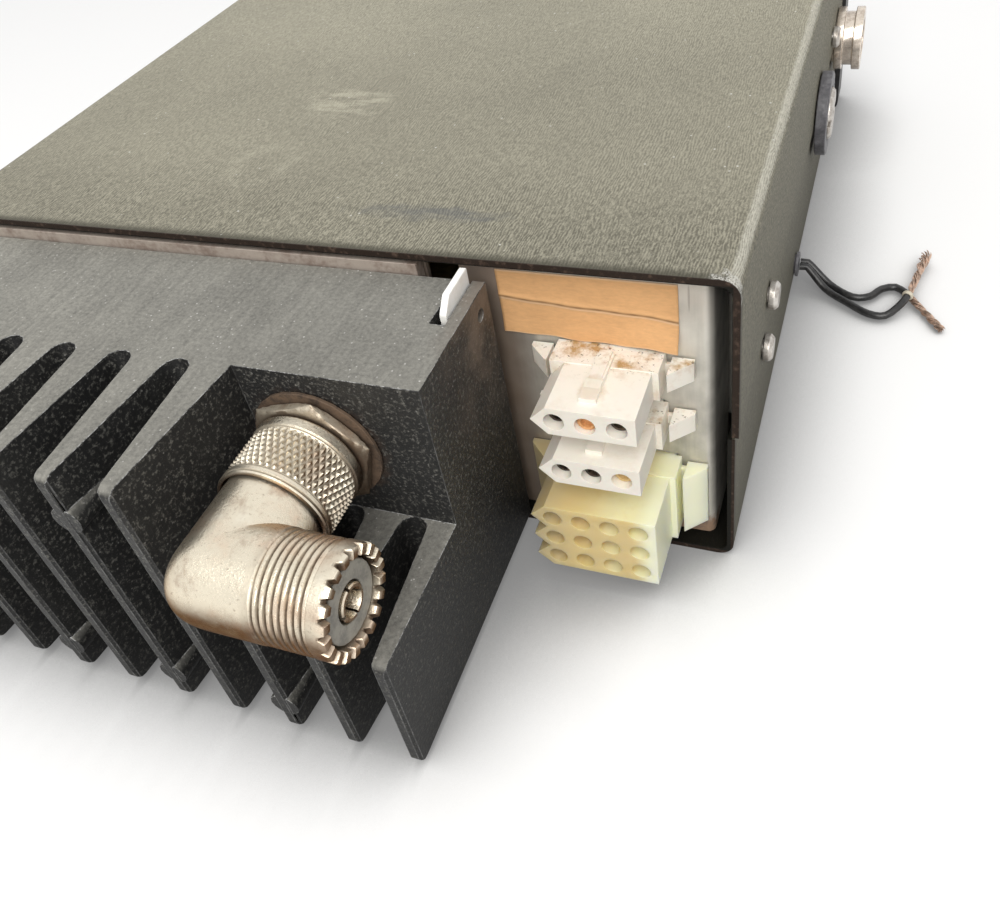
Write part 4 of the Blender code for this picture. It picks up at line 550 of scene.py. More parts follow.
def nylon_finish(look):
    """Cream nylon: brown stain near the panel and round the latch, specks of dirt, a waxy surface."""
    low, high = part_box("power_plug_upper")
    made = Finish("cream_nylon", {"Subsurface Weight": 0.10, "Subsurface Scale": 0.0012})
    cloud = made.noise(210.0, 5.0, 0.65)
    grain = made.noise(1500.0, 3.0, 0.65)
    y = made.along("Y")
    back = y.rise(high.y - 0.004, low.y + 0.010)
    collar = y.rise(high.y - 0.0098, high.y - 0.0112)
    up = made.up().rise(0.30, 0.90)
    stain = cloud.rise(0.46, 0.72) * (back * 0.30 + collar * 0.60 + 0.14) * (up * 0.8 + 0.40)
    latch = made.patch((look.latch_x, high.y - 0.0050, high.z), (0.0026, 0.0034, 0.006), 0.5, 500.0)
    colour = made.mix(look.nylon, shade(look.nylon, 0.93), cloud)
    colour = made.mix(colour, look.stain, stain + latch * up * 0.28)
    dirt = grain.rise(0.60, 0.70) * up * (collar * 0.60 + back * 0.32)
    colour = made.mix(colour, look.dirt, dirt)
    return made.feed(colour=colour, roughness=0.42 + (cloud - 0.5) * 0.18,
                     normal=made.bump(cloud + grain * 0.3, 0.00004, 0.5))


def clear_finish(look):
    """Yellowed clear nylon: paler and greener towards its thin -X side, where light shining through is
    painted, amber deep in its middle.
    """
    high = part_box("accessory_plug")[1]
    made = Finish("clear_nylon", {"Subsurface Weight": 0.60, "Subsurface Scale": 0.004,
                                  "Subsurface Radius": (1.0, 0.85, 0.4)})
    cloud = made.noise(160.0, 4.0, 0.6)
    x = made.along("X")
    # Painted light: the -X side is made pale as if light shone through the thin nylon.
    thin = x.rise(look.clear_side + 0.0036, look.clear_side)
    grey = x.rise(high.x - 0.013, high.x - 0.005)
    up = made.up().rise(0.2, 0.9)
    colour = made.mix(look.clear, look.clear_grey, grey * 0.60)
    pale = up * x.rise(look.clear_side + 0.014, look.clear_side + 0.004)
    colour = made.mix(colour, look.clear_lit_through, thin)
    colour = made.mix(colour, look.clear_top, pale * 0.65)
    colour = made.mix(colour, look.amber, cloud.rise(0.50, 0.78) * (1 - thin) * 0.40)
    return made.feed(colour=colour, roughness=0.32 + cloud * 0.16, normal=made.bump(cloud, 0.00006, 0.6))


def copper_finish(look):
    """Tarnished copper strands, brown where they were handled."""
    made = Finish("copper_strands")
    cloud = made.noise(600.0, 4.0, 0.65)
    colour = made.mix(shade(look.copper, 0.55), shade(look.copper, 1.5), cloud.rise(0.30, 0.72))
    return made.feed(colour=colour, roughness=0.36 + cloud * 0.2, metallic=0.80 + cloud * 0.1)


def brushed_finish(name, colour):
    """Metal brushed in fine lines across the front."""
    made = Finish(name)
    line = made.noise(2600.0, 3.0, 0.6, (0.03, 1.0, 1.0))
    cloud = made.noise(60.0, 4.0)
    tone = (line * 0.7 + cloud * 0.3).rise(0.30, 0.70)
    return made.feed(colour=made.mix(shade(colour, 0.82), shade(colour, 1.15), tone),
                     roughness=0.28 + line * 0.14, metallic=0.86 + line * 0.08,
                     normal=made.bump(line, 0.00002, 0.5))


# Finishes that differ only in tone: colour, second colour, roughness, metallic, grain per metre, relief
TONES = {
    "rusty_steel": ((0.15, 0.100, 0.066), (0.050, 0.036, 0.027), 0.72, 0.30, 420.0, 0.00012),
    "brown_steel": ((0.42, 0.36, 0.31), (0.22, 0.165, 0.135), 0.50, 0.25, 180.0, 0.00004),
    "white_sheet": ((0.98, 0.975, 0.95), (0.88, 0.86, 0.80), 0.52, 0.0, 240.0, 0.00004),
    "grey_insulator": ((0.30, 0.28, 0.235), (0.17, 0.16, 0.14), 0.42, 0.0, 420.0, 0.00006),
    "screw_steel": ((0.62, 0.59, 0.55), (0.34, 0.30, 0.26), 0.34, 0.90, 520.0, 0.00004),
    # The paler second tone of black_rubber is painted sheen, in random patches.
    "black_rubber": ((0.075, 0.073, 0.080), (0.190, 0.185, 0.198), 0.46, 0.0, 240.0, 0.00006),
    "bright_chrome": ((0.80, 0.71, 0.61), (0.50, 0.42, 0.35), 0.20, 0.95, 230.0, 0.00002),
    "black_plastic": ((0.020, 0.020, 0.022), (0.045, 0.044, 0.043), 0.44, 0.0, 900.0, 0.00005),
    "paper_cone": ((0.045, 0.044, 0.042), (0.075, 0.072, 0.066), 0.88, 0.0, 800.0, 0.00012),
    "dial_white": ((0.78, 0.77, 0.70), (0.69, 0.67, 0.58), 0.55, 0.0, 160.0, 0.00002),
    "needle_red": ((0.58, 0.06, 0.04), (0.42, 0.05, 0.035), 0.45, 0.0, 500.0, 0.00001),
    # Painted shade: a nearly black contact stands for the shade deep in a pin hole.
    "contact_in_painted_shade": ((0.020, 0.015, 0.012), (0.110, 0.075, 0.045), 0.45, 0.50, 900.0, 0.00005),
    "ochre_seal": ((0.66, 0.47, 0.22), (0.48, 0.33, 0.13), 0.50, 0.0, 900.0, 0.00005),
    "orange_seal": ((0.72, 0.37, 0.16), (0.50, 0.24, 0.09), 0.50, 0.0, 900.0, 0.00005),
    "circuit_board": ((0.36, 0.27, 0.12), (0.22, 0.165, 0.07), 0.55, 0.0, 520.0, 0.00005),
}


def tone_finish(name, first, second, roughness, metallic, grain, relief):
    """A finish of two tones in ragged patches, with a little relief of its own."""
    made = Finish(name)
    cloud = made.noise(grain, 5.0, 0.65)
    fine = made.noise(grain * 6, 3.0, 0.6)
    tone = (cloud * 0.75 + fine * 0.25).rise(0.40, 0.66)
    return made.feed(colour=made.mix(first, second, tone), roughness=roughness + (cloud - 0.5) * 0.2,
                     metallic=metallic - tone * metallic * 0.25,
                     normal=made.bump(cloud + fine * 0.5, relief, 0.6))


def glass_finish():
    """A clear window with a little haze."""
    made = Finish("clear_window", {"Roughness": 0.06})
    haze = made.noise(90.0, 4.0)
    return made.feed(colour=made.mix((0.86, 0.88, 0.89), (0.70, 0.72, 0.72), haze), alpha=0.10 + haze * 0.06)


def ink_finish(name, colour):
    """Printed ink, a little uneven."""
    made = Finish(name)
    cloud = made.noise(1200.0, 3.0)
    return made.feed(colour=made.mix(colour, shade(colour, 0.75), cloud), roughness=0.5 + cloud * 0.1)


FINISH_MAKERS = {
    "leathercloth_steel": lambda scene: vinyl_finish(scene.transceiver_case),
    "black_casting": lambda scene: casting_finish(scene.transceiver_sink),
    "worn_edge": lambda scene: worn_finish(scene.transceiver_sink),
    "zinc_steel": lambda scene: zinc_finish(scene.transceiver_panel),
    "kraft_paper": lambda scene: kraft_finish(scene.transceiver_panel),
    "worn_nickel": lambda scene: nickel_finish(scene.transceiver_adapter),
    "cream_nylon": lambda scene: nylon_finish(scene.transceiver_plugs),
    "clear_nylon": lambda scene: clear_finish(scene.transceiver_plugs),
    "bare_copper": lambda scene: copper_finish(scene.transceiver_cords),
    "wire_vinyl": lambda scene: tone_finish(
        "wire_vinyl", scene.transceiver_cords.vinyl, (0.035, 0.034, 0.033), 0.34, 0.0, 700.0, 0.00002),
    "tie_thread": lambda scene: tone_finish(
        "tie_thread", scene.transceiver_cords.tie, (0.50, 0.44, 0.34), 0.7, 0.0, 1500.0, 0.00005),
    "brushed_aluminium": lambda scene: brushed_finish("brushed_aluminium", scene.transceiver_front.fascia),
    "clear_window": lambda scene: glass_finish(),
    "mark_ink": lambda scene: ink_finish("mark_ink", scene.transceiver_front.mark),
    "pointer_ink": lambda scene: ink_finish("pointer_ink", scene.transceiver_front.pointer),
}
FINISHES = {}


def finish(name):
    """The material of a finish, made once."""
    if name not in FINISHES:
        maker = FINISH_MAKERS.get(name)
        FINISHES[name] = maker(bpy.context.scene) if maker else tone_finish(name, *TONES[name])
    return FINISHES[name]


# CAD nodes that stay

def box_middle(node):
    """The middle of a CAD node's box."""
    return np.mean(np.array(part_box(node)), axis=0)


def smooth_group():
    """Geometry nodes that shade a mesh smooth and keep edges above an angle sharp."""
    found = bpy.data.node_groups.get("smooth_by_angle")
    if found:
        return found
    group = bpy.data.node_groups.new("smooth_by_angle", "GeometryNodeTree")
    for way in ("INPUT", "OUTPUT"):
        group.interface.new_socket("Geometry", in_out=way, socket_type="NodeSocketGeometry")
    made = Nodes(group)
    faces = made.node("GeometryNodeSetShadeSmooth", sockets={"Geometry": made.node("NodeGroupInput")})
    edge_angle = made.node("GeometryNodeInputMeshEdgeAngle", output="Unsigned Angle")
    flat = made.node("FunctionNodeCompare", {"operation": "LESS_THAN"}, {"A": edge_angle, "B": SHARP})
    edges = made.node("GeometryNodeSetShadeSmooth", {"domain": "EDGE"},
                      {"Geometry": faces, "Shade Smooth": flat})
    made.node("NodeGroupOutput", sockets={0: edges})
    return group


def dress(node, name, edge, worn=None):
    """Give a CAD node its finish; merge its loose triangles, round its edges and shade it smooth."""
    obj = NODES[node]
    obj.data.materials.clear()
    for material in filter(None, (name, worn)):
        obj.data.materials.append(finish(material))
    weld = obj.modifiers.new("merge", "WELD")
    weld.merge_threshold = MERGE
    if edge:
        bevel = obj.modifiers.new("edges", "BEVEL")
        bevel.width = edge
        bevel.segments = EDGE_SEGMENTS
        bevel.limit_method = "ANGLE"
        bevel.angle_limit = SHARP
        bevel.miter_outer = "MITER_ARC"
        if worn:
            bevel.material = 1
    smooth = obj.modifiers.new("smooth", "NODES")
    smooth.node_group = smooth_group()
    even = obj.modifiers.new("even", "WEIGHTED_NORMAL")
    even.keep_sharp = True


# CAD nodes that get a finish alone: node, finish and rounding of its edges in metres
PLAIN_PARTS = {
    "panel": (("rear_panel", "zinc_steel", 0.00018),),
    "sink": (("amplifier_plate", "brown_steel", 0.0002), ("insulating_tab", "white_sheet", 0.00035)),
    "antenna": (("antenna_socket", "worn_nickel", 0.0002), ("antenna_washer", "rusty_steel", 0.0001),
                ("adapter_insulator", "grey_insulator", 0.0002)),
    "sides": (("mic_socket", "bright_chrome", 0.0003), ("mic_insert", "black_plastic", 0.0002),
              ("mount_cushion_right", "black_rubber", 0.0003), ("mount_screw_right", "screw_steel", 0.0002),
              ("mount_cushion_left", "black_rubber", 0.0003), ("mount_screw_left", "screw_steel", 0.0002)),
    "front": (("front_bezel", "black_plastic", 0.0005), ("fascia_plate", "brushed_aluminium", 0.00012),
              ("dial_window", "clear_window", 0.0002), ("meter_window", "clear_window", 0.0002),
              ("meter_case", "dial_white", 0.0001), ("channel_dial", "dial_white", 0.0001),
              ("meter_needle", "needle_red", 0.0), ("power_button", "bright_chrome", 0.0004),
              ("tone_button", "bright_chrome", 0.0004)),
    "inside": (("chassis", "zinc_steel", 0.0), ("side_rail_left", "zinc_steel", 0.0),
               ("side_rail_right", "zinc_steel", 0.0), ("speaker_basket", "zinc_steel", 0.0),
               ("volume_control", "zinc_steel", 0.0), ("squelch_control", "zinc_steel", 0.0),
               ("main_board", "circuit_board", 0.0), ("amplifier_board", "circuit_board", 0.0),
               ("power_transistor", "black_plastic", 0.0), ("channel_switch", "black_plastic", 0.0),
               ("button_switch", "black_plastic", 0.0), ("speaker_cone", "paper_cone", 0.0)),
}


def dress_group(group):
    """Give the plain parts of a group their finish and their rounded edges."""
    for node, name, edge in PLAIN_PARTS[group]:
        dress(node, name, edge)


# New surfaces

def grid_faces(rows, columns, closed=True):
    """Quads between the neighbours of a grid; a closed grid joins its last column to its first."""
    steps = columns if closed else columns - 1
    row, column = np.meshgrid(np.arange(rows - 1) * columns, np.arange(steps), indexing="ij")
    after = (column + 1) % columns
    corners = (row + column, row + after, row + columns + after, row + columns + column)
    return np.stack(corners, -1).reshape(-1, 4)


def grid_rows(columns, *parts):
    """Rows of a grid, from parts that hold one value to a row or a whole row each."""
    return np.concatenate([np.broadcast_to(part, (len(part), columns)) for part in parts])


def add_object(name, data):
    """An object of a mesh, curve, lamp or camera, put into the scene."""
    obj = bpy.data.objects.new(name, data)
    bpy.context.scene.collection.objects.link(obj)
    return obj


def turn_angles(columns):
    """Angles of a full turn, the last a step short of the first."""
    return np.linspace(0.0, TURN, columns, endpoint=False)


def round_points(middle, along, radius, columns):
    """Points round an axis along Y: middle + Y along + radius (X cos t + Z sin t)."""
    t = turn_angles(columns)[:, None]
    rim = np.cos(t) * AXES["X"] + np.sin(t) * AXES["Z"]
    shape = (len(along), columns)
    along, radius = (np.broadcast_to(values, shape)[..., None] for values in (along, radius))
    return np.asarray(middle) + along * AXES["Y"] + radius * rim


def add_piece(name, points, faces, material, body, replaces=(), stored=()):
    """A mesh piece from points and faces: merged, turned outwards, shaded, and set on its body."""
    mesh = bpy.data.meshes.new(name)
    mesh.from_pydata(np.asarray(points).reshape(-1, 3).tolist(), [], [list(face) for face in faces])
    for word, values in dict(stored).items():
        layer = mesh.attributes.new(word, "FLOAT", "POINT")
        layer.data.foreach_set("value", np.ascontiguousarray(values, dtype=np.float32).ravel())
    edit = bmesh.new()
    edit.from_mesh(mesh)
    bmesh.ops.remove_doubles(edit, verts=edit.verts, dist=MERGE)
    bmesh.ops.dissolve_degenerate(edit, edges=edit.edges, dist=MERGE / 10)
    bmesh.ops.recalc_face_normals(edit, faces=edit.faces)
    edit.to_mesh(mesh)
    edit.free()
    mesh.shade_smooth()
    mesh.set_sharp_from_angle(angle=SHARP)
    mesh.materials.append(finish(material))
    obj = add_object(name, mesh)
    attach(obj, body)
    if replaces:
        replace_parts(obj, *replaces)
    return obj


def add_round(name, middle, profile, columns, material, body):
    """A turned piece: a profile of (along, radius) points carried round an axis along Y."""
    along, radius = np.array(profile, float).T
    points = round_points(middle, along[:, None], radius[:, None], columns)
    return add_piece(name, points, grid_faces(len(profile), columns), material, body)


def thicken(obj, thickness):
    """Give a sheet its thickness, half to each side."""
    thick = obj.modifiers.new("thickness", "SOLIDIFY")
    thick.thickness = thickness
    thick.offset = 0.0


def block_points(middle, half, turn=0.0):
    """The eight corners of a block about a point, turned about an axis along Y."""
    signs = np.array([(x, y, z) for x in (-1, 1) for y in (-1, 1) for z in (-1, 1)], float)
    spin = np.array(Matrix.Rotation(turn, 3, "Y"))
    return np.asarray(middle) + (signs * np.asarray(half)) @ spin.T


BLOCK_FACES = np.array(((0, 1, 3, 2), (4, 6, 7, 5), (0, 4, 5, 1), (2, 3, 7, 6), (0, 2, 6, 4), (1, 5, 7, 3)))


def add_blocks(name, corners, material, body):
    """One piece of many small blocks."""
    faces = np.concatenate([BLOCK_FACES + 8 * i for i in range(len(corners))])
    return add_piece(name, np.concatenate(corners), faces, material, body)


def smooth_points(route, spacing):
    """Points about this far apart on a Catmull-Rom curve through a route's own points."""
    places = [np.array(p, float) for p in route]
    padded = [2 * places[0] - places[1]] + places + [2 * places[-1] - places[-2]]
    points = [places[0][None]]
    for before, start, stop, after in zip(padded, padded[1:], padded[2:], padded[3:]):
        steps = max(1, round(np.linalg.norm(stop - start) / spacing))
        t = np.arange(1, steps + 1)[:, None] / steps
        slope = (stop - before) * t + (2 * before - 5 * start + 4 * stop - after) * t ** 2
        points.append(start + (slope + (3 * start - before - 3 * stop + after) * t ** 3) / 2)
    return np.concatenate(points)


def path_frames(points):
    """Tangent and two normals at each point of a path, kept level where it can be."""
    tangent = np.gradient(points, axis=0)
    tangent /= np.linalg.norm(tangent, axis=1)[:, None]
    side = np.cross(tangent, AXES["Z"])
    side /= np.linalg.norm(side, axis=1)[:, None]
    return tangent, side, np.cross(side, tangent)


def wave(t):
    """A triangle wave of period 1, from 0 at whole numbers to 1 between them."""
    return 1 - np.abs(2 * (t % 1.0) - 1)


def rise(value, low, high):
    """A smooth rise from 0 at low to 1 at high."""
    t = np.clip((value - low) / (high - low), 0.0, 1.0)
    return t * t * (3 - 2 * t)


# Stage

SENSOR_WIDTH = 36.0
NEAREST_VIEW = 0.001
FLOOR_HALF = 6.0


def make_camera(look):
    """The camera at the photograph's place, square to its picture."""
    data = bpy.data.cameras.new("camera")
    data.sensor_width = SENSOR_WIDTH
    data.lens = look.lens
    data.shift_x, data.shift_y = look.shift
    data.clip_start = NEAREST_VIEW
    camera = add_object("camera", data)
    right, back = Vector(look.right), Vector(look.back)
    turn = Matrix((right, back.cross(right), back)).transposed()
    camera.matrix_world = Matrix.Translation(look.eye) @ turn.to_4x4()
    bpy.context.scene.camera = camera


def make_floor(look):
    """Pale paper under the object, darker close to it in a painted contact shadow; part of its brightness the
    camera sees as plain white.
    """
    made = Finish("floor_paper", {"Roughness": 0.9})
    # Painted contact shadow: an occlusion node makes the paper darker close to the object.
    painted_contact_shadow = made.node("ShaderNodeAmbientOcclusion", {"samples": 16}, {"Distance": look.contact}, "AO")
    paper = made.mix(shade(look.floor, 0.16), look.floor, painted_contact_shadow.rise(0.30, 1.0))
    seen = made.seen()
    made.feed(colour=made.mix(look.bounce, paper, seen))
    glow = made.node("ShaderNodeEmission")
    shader = Value(made, made.shader.outputs[0])
    mixed = made.node("ShaderNodeMixShader", sockets={0: seen * look.glow, 1: shader, 2: glow})
    made.tree.links.new(mixed.socket, made.tree.nodes["Material Output"].inputs["Surface"])
    mesh = bpy.data.meshes.new("floor")
    corners = [(x * FLOOR_HALF, y * FLOOR_HALF, 0) for x, y in ((-1, -1), (1, -1), (1, 1), (-1, 1))]
    mesh.from_pydata(corners, [], [(0, 1, 2, 3)])
    mesh.materials.append(made.material)
    floor = add_object("floor", mesh)


def make_lamps(look):
    """A soft sky, white where it is seen, and one large lamp over the rear."""
    world = bpy.data.worlds.new("studio")
    bpy.context.scene.world = world
    world.use_nodes = True
    made = Nodes(world.node_tree)
    way = made.node("ShaderNodeTexCoord", output="Generated")
    height = made.node("ShaderNodeSeparateXYZ", sockets={0: way}, output="Z")
    light = made.node("ShaderNodeMapRange", sockets={"Value": height, "From Min": -0.1,
                                                     "To Min": look.horizon, "To Max": look.sky})
    strength = made.node("ShaderNodeMix", sockets={0: made.seen(), 2: light, 3: 1.0})
    back = made.tree.nodes["Background"]
    back.inputs["Color"].default_value = (1.0, 1.0, 1.0, 1.0)
    made.tree.links.new(strength.socket, back.inputs["Strength"])
    data = bpy.data.lights.new("lamp", "AREA")
    data.size = look.lamp_size
    data.energy = look.lamp_power
    data.color = look.lamp_colour
    lamp = add_object("lamp", data)
    aim = Vector(look.lamp_aim) - Vector(look.lamp)
    lamp.matrix_world = Matrix.Translation(look.lamp) @ aim.to_track_quat("-Z", "Y").to_matrix().to_4x4()


# Lead wires

WIRE_ROUTES = {
    "a": ((-0.0807, 0.0020, 0.0058), (-0.0824, 0.0020, 0.0058), (-0.0880, 0.0050, 0.0020),
          (-0.0934, 0.0085, 0.0015), (-0.0972, 0.0076, 0.0014), (-0.0996, 0.0042, 0.0013),
          (-0.1026, 0.0028, 0.00115), (-0.1050, 0.0048, 0.00115)),
    "b": ((-0.0807, 0.0040, 0.0058), (-0.0824, 0.0040, 0.0058), (-0.0872, 0.0070, 0.0020),
          (-0.0926, 0.0110, 0.0015), (-0.0972, 0.0142, 0.0014), (-0.1010, 0.0146, 0.0016),
          (-0.1040, 0.0112, 0.0026), (-0.1055, 0.0076, 0.0031)),
}
STRAND_ROUTES = {
    "a": ((-0.1084, 0.0104, 0.0012), (-0.1130, 0.0176, 0.0012)),
    "b": ((-0.1070, 0.0004, 0.0030), (-0.1088, -0.0098, 0.0026)),
}
STRAND_FRAY = {"a": 0.55, "b": 1.9}
WIRE_STEP = 0.0015
STRAND_STEP = 0.0006
STRAND_GAP = 0.0003
STRAND_SIDES = 6
TIED_WIRE = "b"
TIE_BACK = 0.0006
TIE_GAP = 0.00012
TIE_RADIUS = 0.00032
TIE_WIDTH = 1.6
TIE_STEPS = 32
TIE_SIDES = 10


def strand_points(path, look, fray):
    """Twisted strands: each runs at path + r (side cos a + up sin a) and leaves the bundle at its end."""
    _, side, up = path_frames(path)
    s = np.linspace(0.0, 1.0, len(path))[None, :, None]
    lane = np.arange(look.strands)[:, None, None]
    loose = 1 + fray * s ** 3 * (0.6 + 0.4 * np.sin(3.1 * lane))
    spread = look.bundle * (0.35 + 0.65 * (lane % 3) / 2) * loose
    a = TURN * (lane / look.strands + 1.6 * s) + 0.5 * np.sin(5.0 * s + lane)
    line = path[None] + spread * (np.cos(a) * side[None] + 0.75 * np.sin(a) * up[None])
    line[..., 2] = np.maximum(line[..., 2], look.strand)
    t = turn_angles(STRAND_SIDES)[None, None, :, None]
    ring = np.cos(t) * side[None, :, None] + np.sin(t) * up[None, :, None]
    taper = np.where((s == 0) | (s == 1), 0.0, 1.0)[..., None]
    return line[:, :, None] + look.strand * taper * ring


def make_lead_wires(look):
    """Two limp black wires, their twisted copper ends, and a thread round one of them."""
    for word, route in WIRE_ROUTES.items():
        points = smooth_points(route, WIRE_STEP)
        curve = bpy.data.curves.new(f"wire_{word}", "CURVE")
        curve.dimensions = "3D"
        curve.bevel_depth = look.radius
        curve.bevel_resolution = 6
        curve.use_fill_caps = True
        line = curve.splines.new("POLY")
        line.points.add(len(points) - 1)
        line.points.foreach_set("co", np.column_stack((points, np.ones(len(points)))).ravel())
        curve.materials.append(finish("wire_vinyl"))
        wire = add_object(f"wire_{word}", curve)
        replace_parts(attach(wire, "case"), f"lead_wire_{word}")
        way = points[-1] - points[-2]
        start = points[-1] + way / np.linalg.norm(way) * STRAND_GAP
        path = smooth_points([start, *STRAND_ROUTES[word]], STRAND_STEP)
        strands = strand_points(path, look, STRAND_FRAY[word])
        tube = grid_faces(len(path), STRAND_SIDES)
        faces = np.concatenate([tube + i * len(path) * STRAND_SIDES for i in range(look.strands)])
        ends = add_piece(f"copper_strands_{word}", strands, faces, "bare_copper", "case",
                         [f"copper_end_{word}"])
        if word == TIED_WIRE:
            make_tie(points, look)


def make_tie(points, look):
    """A thread wound round a wire's end: a torus about the wire."""
    tangent, side, up = path_frames(points)
    t, p = turn_angles(TIE_STEPS)[:, None, None], turn_angles(TIE_SIDES)[None, :, None]
    spoke = np.cos(t) * side[-1] + np.sin(t) * up[-1]
    middle = points[-1] - TIE_BACK * tangent[-1]
    section = np.cos(p) * spoke + np.sin(p) * TIE_WIDTH * tangent[-1]
    ring = middle + spoke * (look.radius + TIE_GAP) + TIE_RADIUS * section
    around = np.concatenate((ring, ring[:1]))
    return add_piece("wire_tie", around, grid_faces(*around.shape[:2]), "tie_thread", "case")


# Case and rear

SCREW_EDGE = 0.00015
LABEL_COLUMNS = 61
LABEL_ROWS = 101
TONGUE_DROP = 0.0008
PIN_RIGHT = -0.0640
PIN_PITCH = 0.00503
PIN_SIDES = 24

# What closes each plug's pin holes from the right: finish, and depth behind the plug's face
PIN_FILLS = {
    # The nearly black contacts are painted shade in the pin holes
    "power_plug_upper": (("contact_in_painted_shade", 0.0019), ("orange_seal", 0.0011), ("contact_in_painted_shade", 0.0020)),
    "power_plug_lower": (("ochre_seal", 0.0016), ("contact_in_painted_shade", 0.0015), ("contact_in_painted_shade", 0.0018)),
}


def make_case(look):
    """Vinyl covers with rounded edges, and their screws."""
    dress("top_cover", "leathercloth_steel", look.edge)
    dress("bottom_cover", "leathercloth_steel", look.edge)
    for node in NODES:
        if node.startswith(("top_screw", "bottom_screw")):
            dress(node, "screw_steel", SCREW_EDGE)
    dress("wire_grommet", "black_rubber", SCREW_EDGE)


def label_points(look):
    """A label sheet: panel + crease bump across it + a curl that grows towards its lower right corner."""
    low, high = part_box("panel_label")
    u, v = np.meshgrid(np.linspace(0, 1, LABEL_COLUMNS), np.linspace(0, 1, LABEL_ROWS))
    x = high.x + (low.x - high.x) * u
    z = high.z + (low.z - high.z) * v
    edge_wave = 0.00022 * np.sin(9.0 * u) + 0.00012 * np.sin(23.0 * u + 1.0)
    z = z + edge_wave * v
    fold = 0.40 + 0.15 * u + 0.012 * np.sin(7.0 * u)
    off = v - fold
    bump = look.crease * np.exp(-(off / 0.045) ** 2)
    curl = look.curl * rise(u, 0.55, 1.0) * rise(v, 0.55, 1.0) + 0.0003 * rise(v, 0.7, 1.0)
    y = low.y + bump + curl
    # Painted shade in a thin line along the fold
    crease = np.exp(-(off / 0.014) ** 2) * (0.75 + 0.25 * np.sin(31.0 * u) ** 2)
    # Pale rubbed top and bottom edges, and a painted highlight in a band just below the fold
    rim = 1 - rise(v, 0.0, 0.030) + rise(v, 0.975, 1.0) + np.exp(-((off - 0.035) / 0.018) ** 2)
    return np.stack((x, y, z), -1), crease, np.clip(rim, 0, 1)


def make_panel(look):
    """The zinc panel, and the creased paper label that stands for its plate."""
    dress_group("panel")
    points, crease, rim = label_points(look)
    faces = grid_faces(*points.shape[:2], closed=False)
    label = add_piece("label_sheet", points, faces, "kraft_paper", "case", ["panel_label"],
                      {"fold": crease, "rubbed_edge_and_highlight": rim})
    thicken(label, look.sheet)


def make_heat_sink(look):
    """The casting with rounded, rubbed edges, its brown front plate and the white tab."""
    dress("heat_sink", "black_casting", look.edge, "worn_edge")
    dress_group("sink")


# Antenna socket and adapter

RING_WALL = 0.0007
KNURL_STEPS = 10
KNURL_FADE = 0.0004
NUT_BORE = 0.0080
NUT_COLUMNS = 144
NECK_ROWS = 9
CORNER_ROWS = 24
OUTLET_ROWS = 6
TOOTH_STEPS = 12
THREAD_STEPS = 10
THREAD_WIDTH = 0.56
THREAD_FADE = 0.0006
RUB_DEPTH = 0.00022
RUB_PLACE = np.radians(62)
RUB_REACH = (np.radians(13), np.radians(26))
CONTACT_WALL = 0.0008
CONTACT_PETALS = 4
CONTACT_STEPS = 10


def ring_grid(look):
    """Ring radius = R - depth * the nearer of two crossed V-grooves, in the knurled band alone."""
    low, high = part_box("adapter_coupling_ring")
    outer = (high.x - low.x) / 2
    bore = outer - RING_WALL
    start, end = low.y + look.front_band, high.y - look.rear_band
    band = np.linspace(start, end, 1 + KNURL_STEPS * round((end - start) / look.knurl_length))
    # Place along the axis, radius and dirt of the plain rows before and after the knurl
    head = np.array(((low.y, bore, 0), (low.y, outer - 0.0005, 0), (low.y + 0.0001, outer - 0.0002, 0),
                     (low.y + 0.0004, outer, 0), (start - 0.0005, outer, 0),
                     (start - 0.0003, outer - 0.00025, 0.5), (start - 0.0001, outer - 0.00025, 0.5)))
    tail = np.array(((end + 0.0001, outer - 0.00025, 0.5), (end + 0.0003, outer - 0.00025, 0.5),
                     (end + 0.0005, outer - 0.0001, 0), (high.y - 0.0008, outer - 0.0001, 0),
                     (high.y - 0.0006, outer - 0.0004, 0.8), (high.y - 0.0004, outer - 0.0001, 0),
                     (high.y - 0.0001, outer - 0.0002, 0), (high.y, outer - 0.0005, 0), (high.y, bore, 0),
                     (low.y, bore, 0)))
    columns = KNURL_STEPS * look.knurls
    t = turn_angles(columns)[None]
    step = (band[:, None] - start) / look.knurl_length
    first, second = wave(look.knurls * t / TURN + step), wave(look.knurls * t / TURN - step)
    groove = 1 - np.minimum(first, second)
    fade = (rise(band, start, start + KNURL_FADE) * rise(-band, -end, -end + KNURL_FADE))[:, None]
    groove = groove * fade + (1 - fade) * 0.6
    knurl = outer - look.knurl_depth * np.clip(groove * 1.25, 0, 1) ** 1.1
    knurled = (band[:, None], knurl, rise(groove, 0.50, 1.0) * 0.75)
    return [grid_rows(columns, head[:, i:i + 1], rows, tail[:, i:i + 1]) for i, rows in enumerate(knurled)]


def nut_grid(look):
    """Nut radius = the smaller of a hexagon's edge and a chamfer cone that opens from each face."""
    low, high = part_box("antenna_nut")
    t = turn_angles(NUT_COLUMNS)[None] - look.nut_turn
    flat = look.nut_flats / 2
    hexagon = flat / np.cos((t + np.pi / 6) % (np.pi / 3) - np.pi / 6)
    depth = np.array((0.0, 0.0, 0.00012, 0.0003, 0.0006, 0.0009))
    cone = np.array((NUT_BORE, flat - 0.0006, flat - 0.0001, flat + 0.0004, flat + 0.0010, flat + 0.0020))
    along = np.concatenate((low.y + depth, high.y - depth[::-1], low.y + depth[:1]))[:, None]
    limit = np.concatenate((cone, cone[::-1], cone[:1]))[:, None]
    radius = np.minimum(limit, hexagon)
    dirt = np.broadcast_to(rise(-along, -high.y, -low.y) * 0.4 + 0.45, radius.shape)
    return along, radius, dirt


